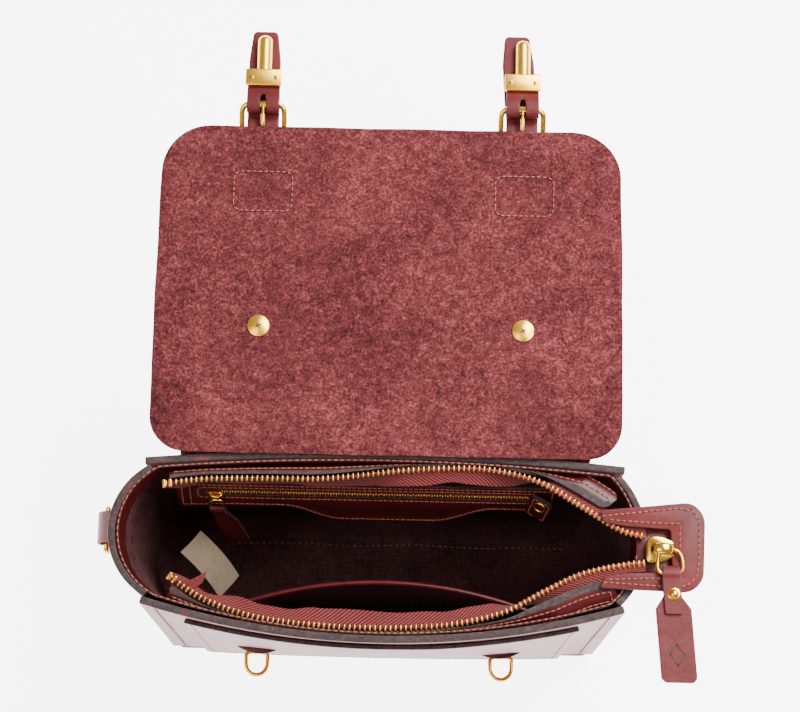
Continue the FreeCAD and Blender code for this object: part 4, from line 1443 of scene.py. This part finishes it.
def buildSlipPocket():
    s = slip

    def placed(u, w):
        z = s["low"] + (s["high"] - s["low"]) * w
        x, y = slipArc(u, z, s["lowY"] + (s["highY"] - s["lowY"]) * w)
        return x, y + wave(x, 5, z * 0.6, 30, 1.6) * math.sin(math.pi * w), z
    cloth = gridSheet("slipPocket", 80, 40, placed, (liningCloth, liningCloth))
    thicken(cloth, s["thick"], side=0, edge=0)
    ready(cloth, "bag", "lining_cloth", "slip_pocket")
    edgeZ = s["bindingZ"]
    line = [(*slipArc(u, edgeZ, s["highY"]), edgeZ - 0.4 + 1.2 * math.sin(math.pi * u))
            for u in np.linspace(0, 1, 24)]
    binding = wire("slipPocketBinding", line, s["bindingWire"], grainShaded)
    for vertex in binding.data.vertices:
        vertex.co.z = edgeZ * mm + (vertex.co.z - edgeZ * mm) * 1.5
    ready(binding, "bag", "burgundy_leather", "slip_pocket_binding")


keyTab = dict(half=(6.5, 12), corner=3, seam=(4.8, 10.4, 2), place=(87.5, 24.5, 157.5),
              turns=(("Z", -28), ("X", 74)), hookWire=0.7)
careLabel = dict(size=(18, 35), thick=0.35, place=(-98.5, -8.5, 139),
                 turns=(("Z", 42), ("X", 26), ("Y", 22)))


def seated(piece, made):
    # moves a piece made flat at the origin to its place, turned in degrees about each axis
    turn = Matrix.Translation(Vector(made["place"]) * mm)
    for axis, degrees in made["turns"]:
        turn = turn @ Matrix.Rotation(math.radians(degrees), 4, axis)
    piece.data.transform(turn)
    return piece


def buildKeyTab():
    s = keyTab
    tab = cutPlate("keyTab", [roundedBox(*s["half"], s["corner"])], -1, 1, (grainShaded, rawEdge), soften=0.4)
    line = [(*q, 1.05) for q in roundedBox(*s["seam"])]
    seam = stitchLine("keyTabStitches", line, (0, 0, 1), pitch=2.8)
    ready(seated(joined("keyTab", [tab, seam]), s), "bag", "burgundy_leather", "key_tab")
    hoop = [(-3.4, 8, 1.6), (-3.4, 3.4, 2.4), (0, 1.4, 2.8), (3.4, 3.4, 2.4), (3.4, 8, 1.6), (0, 9.4, 1.4)]
    ready(seated(wire("keyHook", hoop, s["hookWire"], goldMetal, closed=True), s), "bag", "gold_metal")


def buildCareLabel():
    s = careLabel

    def curled(u, w):
        x, y = (u - 0.5) * s["size"][0], (w - 0.5) * s["size"][1]
        tip = 12 * max(0, w - 0.75) ** 2
        return x, y, 2.6 * math.sin(math.pi * w * 1.1) + 1.1 * math.sin(math.pi * u) - tip
    label = gridSheet("careLabel", 20, 32, curled, (labelCloth, labelCloth))
    thicken(label, s["thick"], side=0, edge=0)
    seated(label, s)
    ready(label, "bag", "label_cloth", "care_label")


sideLoop = dict(
    y=7, half=8.6, thick=1.7, ringOut=5.6, ringWire=1.5,
    profile=[(0.2, 176), (2.2, 174.8), (6.6, 170), (8.6, 165), (8.4, 160), (5.6, 154.8), (1.6, 151.8),
             (0.2, 151)],
    ring=[(7, 162), (17, 162), (19.2, 161.4), (19.4, 158), (18.6, 150), (14, 143), (7, 140.4), (0, 143),
          (-4.6, 150), (-5.4, 158), (-5.2, 161.4), (-3, 162)],
)


def buildSideLoop(name, sign):
    s = sideLoop
    face = level(name.title(), 164) + sign * 0.9
    line = smoothRow(s["profile"], 8)

    def wrapped(u, w):
        at = line[int(round(w * (len(line) - 1)))]
        return face + sign * at.x, s["y"] + (2 * u - 1) * s["half"], at.y
    loop = gridSheet(f"sideLoop{name.title()}", 10, len(line) - 1, wrapped, (grain, rawEdge, suede))
    if sign > 0:
        loop.data.flip_normals()
    thicken(loop, s["thick"], side=1, back=0, soften=0.3)
    ready(faceOut(loop), "bag", "burgundy_leather", f"side_loop_{name}")
    ring = [(face + sign * s["ringOut"], y, z) for y, z in s["ring"]]
    ready(wire(f"sideRing{name.title()}", ring, s["ringWire"], goldMetal, closed=True), f"ring_{name}",
          "gold_metal", f"d_ring_{name}")


eye = dict(shift=dict(left=-0.5, right=-3.2), z=67, tabHalf=12, tabLow=64.5, tabHigh=77.5, tabOut=3.6,
           centreY=-58.6, half=6.4, wireRadius=1.3)


def buildEye(name, sign):
    s = eye
    x, z = sign * strapX + s["shift"][name], s["z"]
    tag = name.title()
    back, half = wallY("Front", x, z) - 3.4, s["tabHalf"]
    moon = [(x - half + 2 * half * t, back + 0.4 + sign * (t - 0.5) * 2.6) for t in np.linspace(0, 1, 12)]
    moon += [(x + half - 2 * half * t,
              back - s["tabOut"] * math.sin(math.pi * t) ** 0.8 - sign * (t - 0.5) * 2.6)
             for t in np.linspace(0.02, 0.98, 24)]
    leaf = cutPlate(f"eyeTab{tag}", [moon], s["tabLow"], s["tabHigh"], (grainShaded, grain), soften=0.8)
    for vertex in leaf.data.vertices:
        deep = (s["tabHigh"] - vertex.co.z / mm) / (s["tabHigh"] - s["tabLow"])
        vertex.co.y = back * mm + (vertex.co.y - back * mm) * (1 - 0.45 * deep)
    ready(leaf, "bag", "burgundy_leather", f"eye_tab_{name}")
    centre, wide = s["centreY"], s["half"]
    hoop = [(x - wide, -51.6, z), (x - wide, -55, z), (x - wide, centre, z)]
    turns = np.linspace(0.35, math.pi - 0.35, 7)
    hoop += [(x - wide * math.cos(a), centre - wide * math.sin(a), z) for a in turns]
    hoop += [(x + wide, centre, z), (x + wide, -55, z), (x + wide, -51.6, z), (x, -51.2, z)]
    ready(wire(f"eye{tag}", hoop, s["wireRadius"], goldMetal, closed=True), f"eye_{name}", "gold_metal",
          f"eye_{name}")


buildInnerFacing()
buildInnerZip()
buildInnerPull()
buildPocketBag()
buildSlipPocket()
buildKeyTab()
buildCareLabel()
for sideName, sideSign in sides:
    buildSideLoop(sideName, sideSign)
for sideName, sideSign in sides:
    buildEye(sideName, sideSign)
print("stage: inside and small pieces")
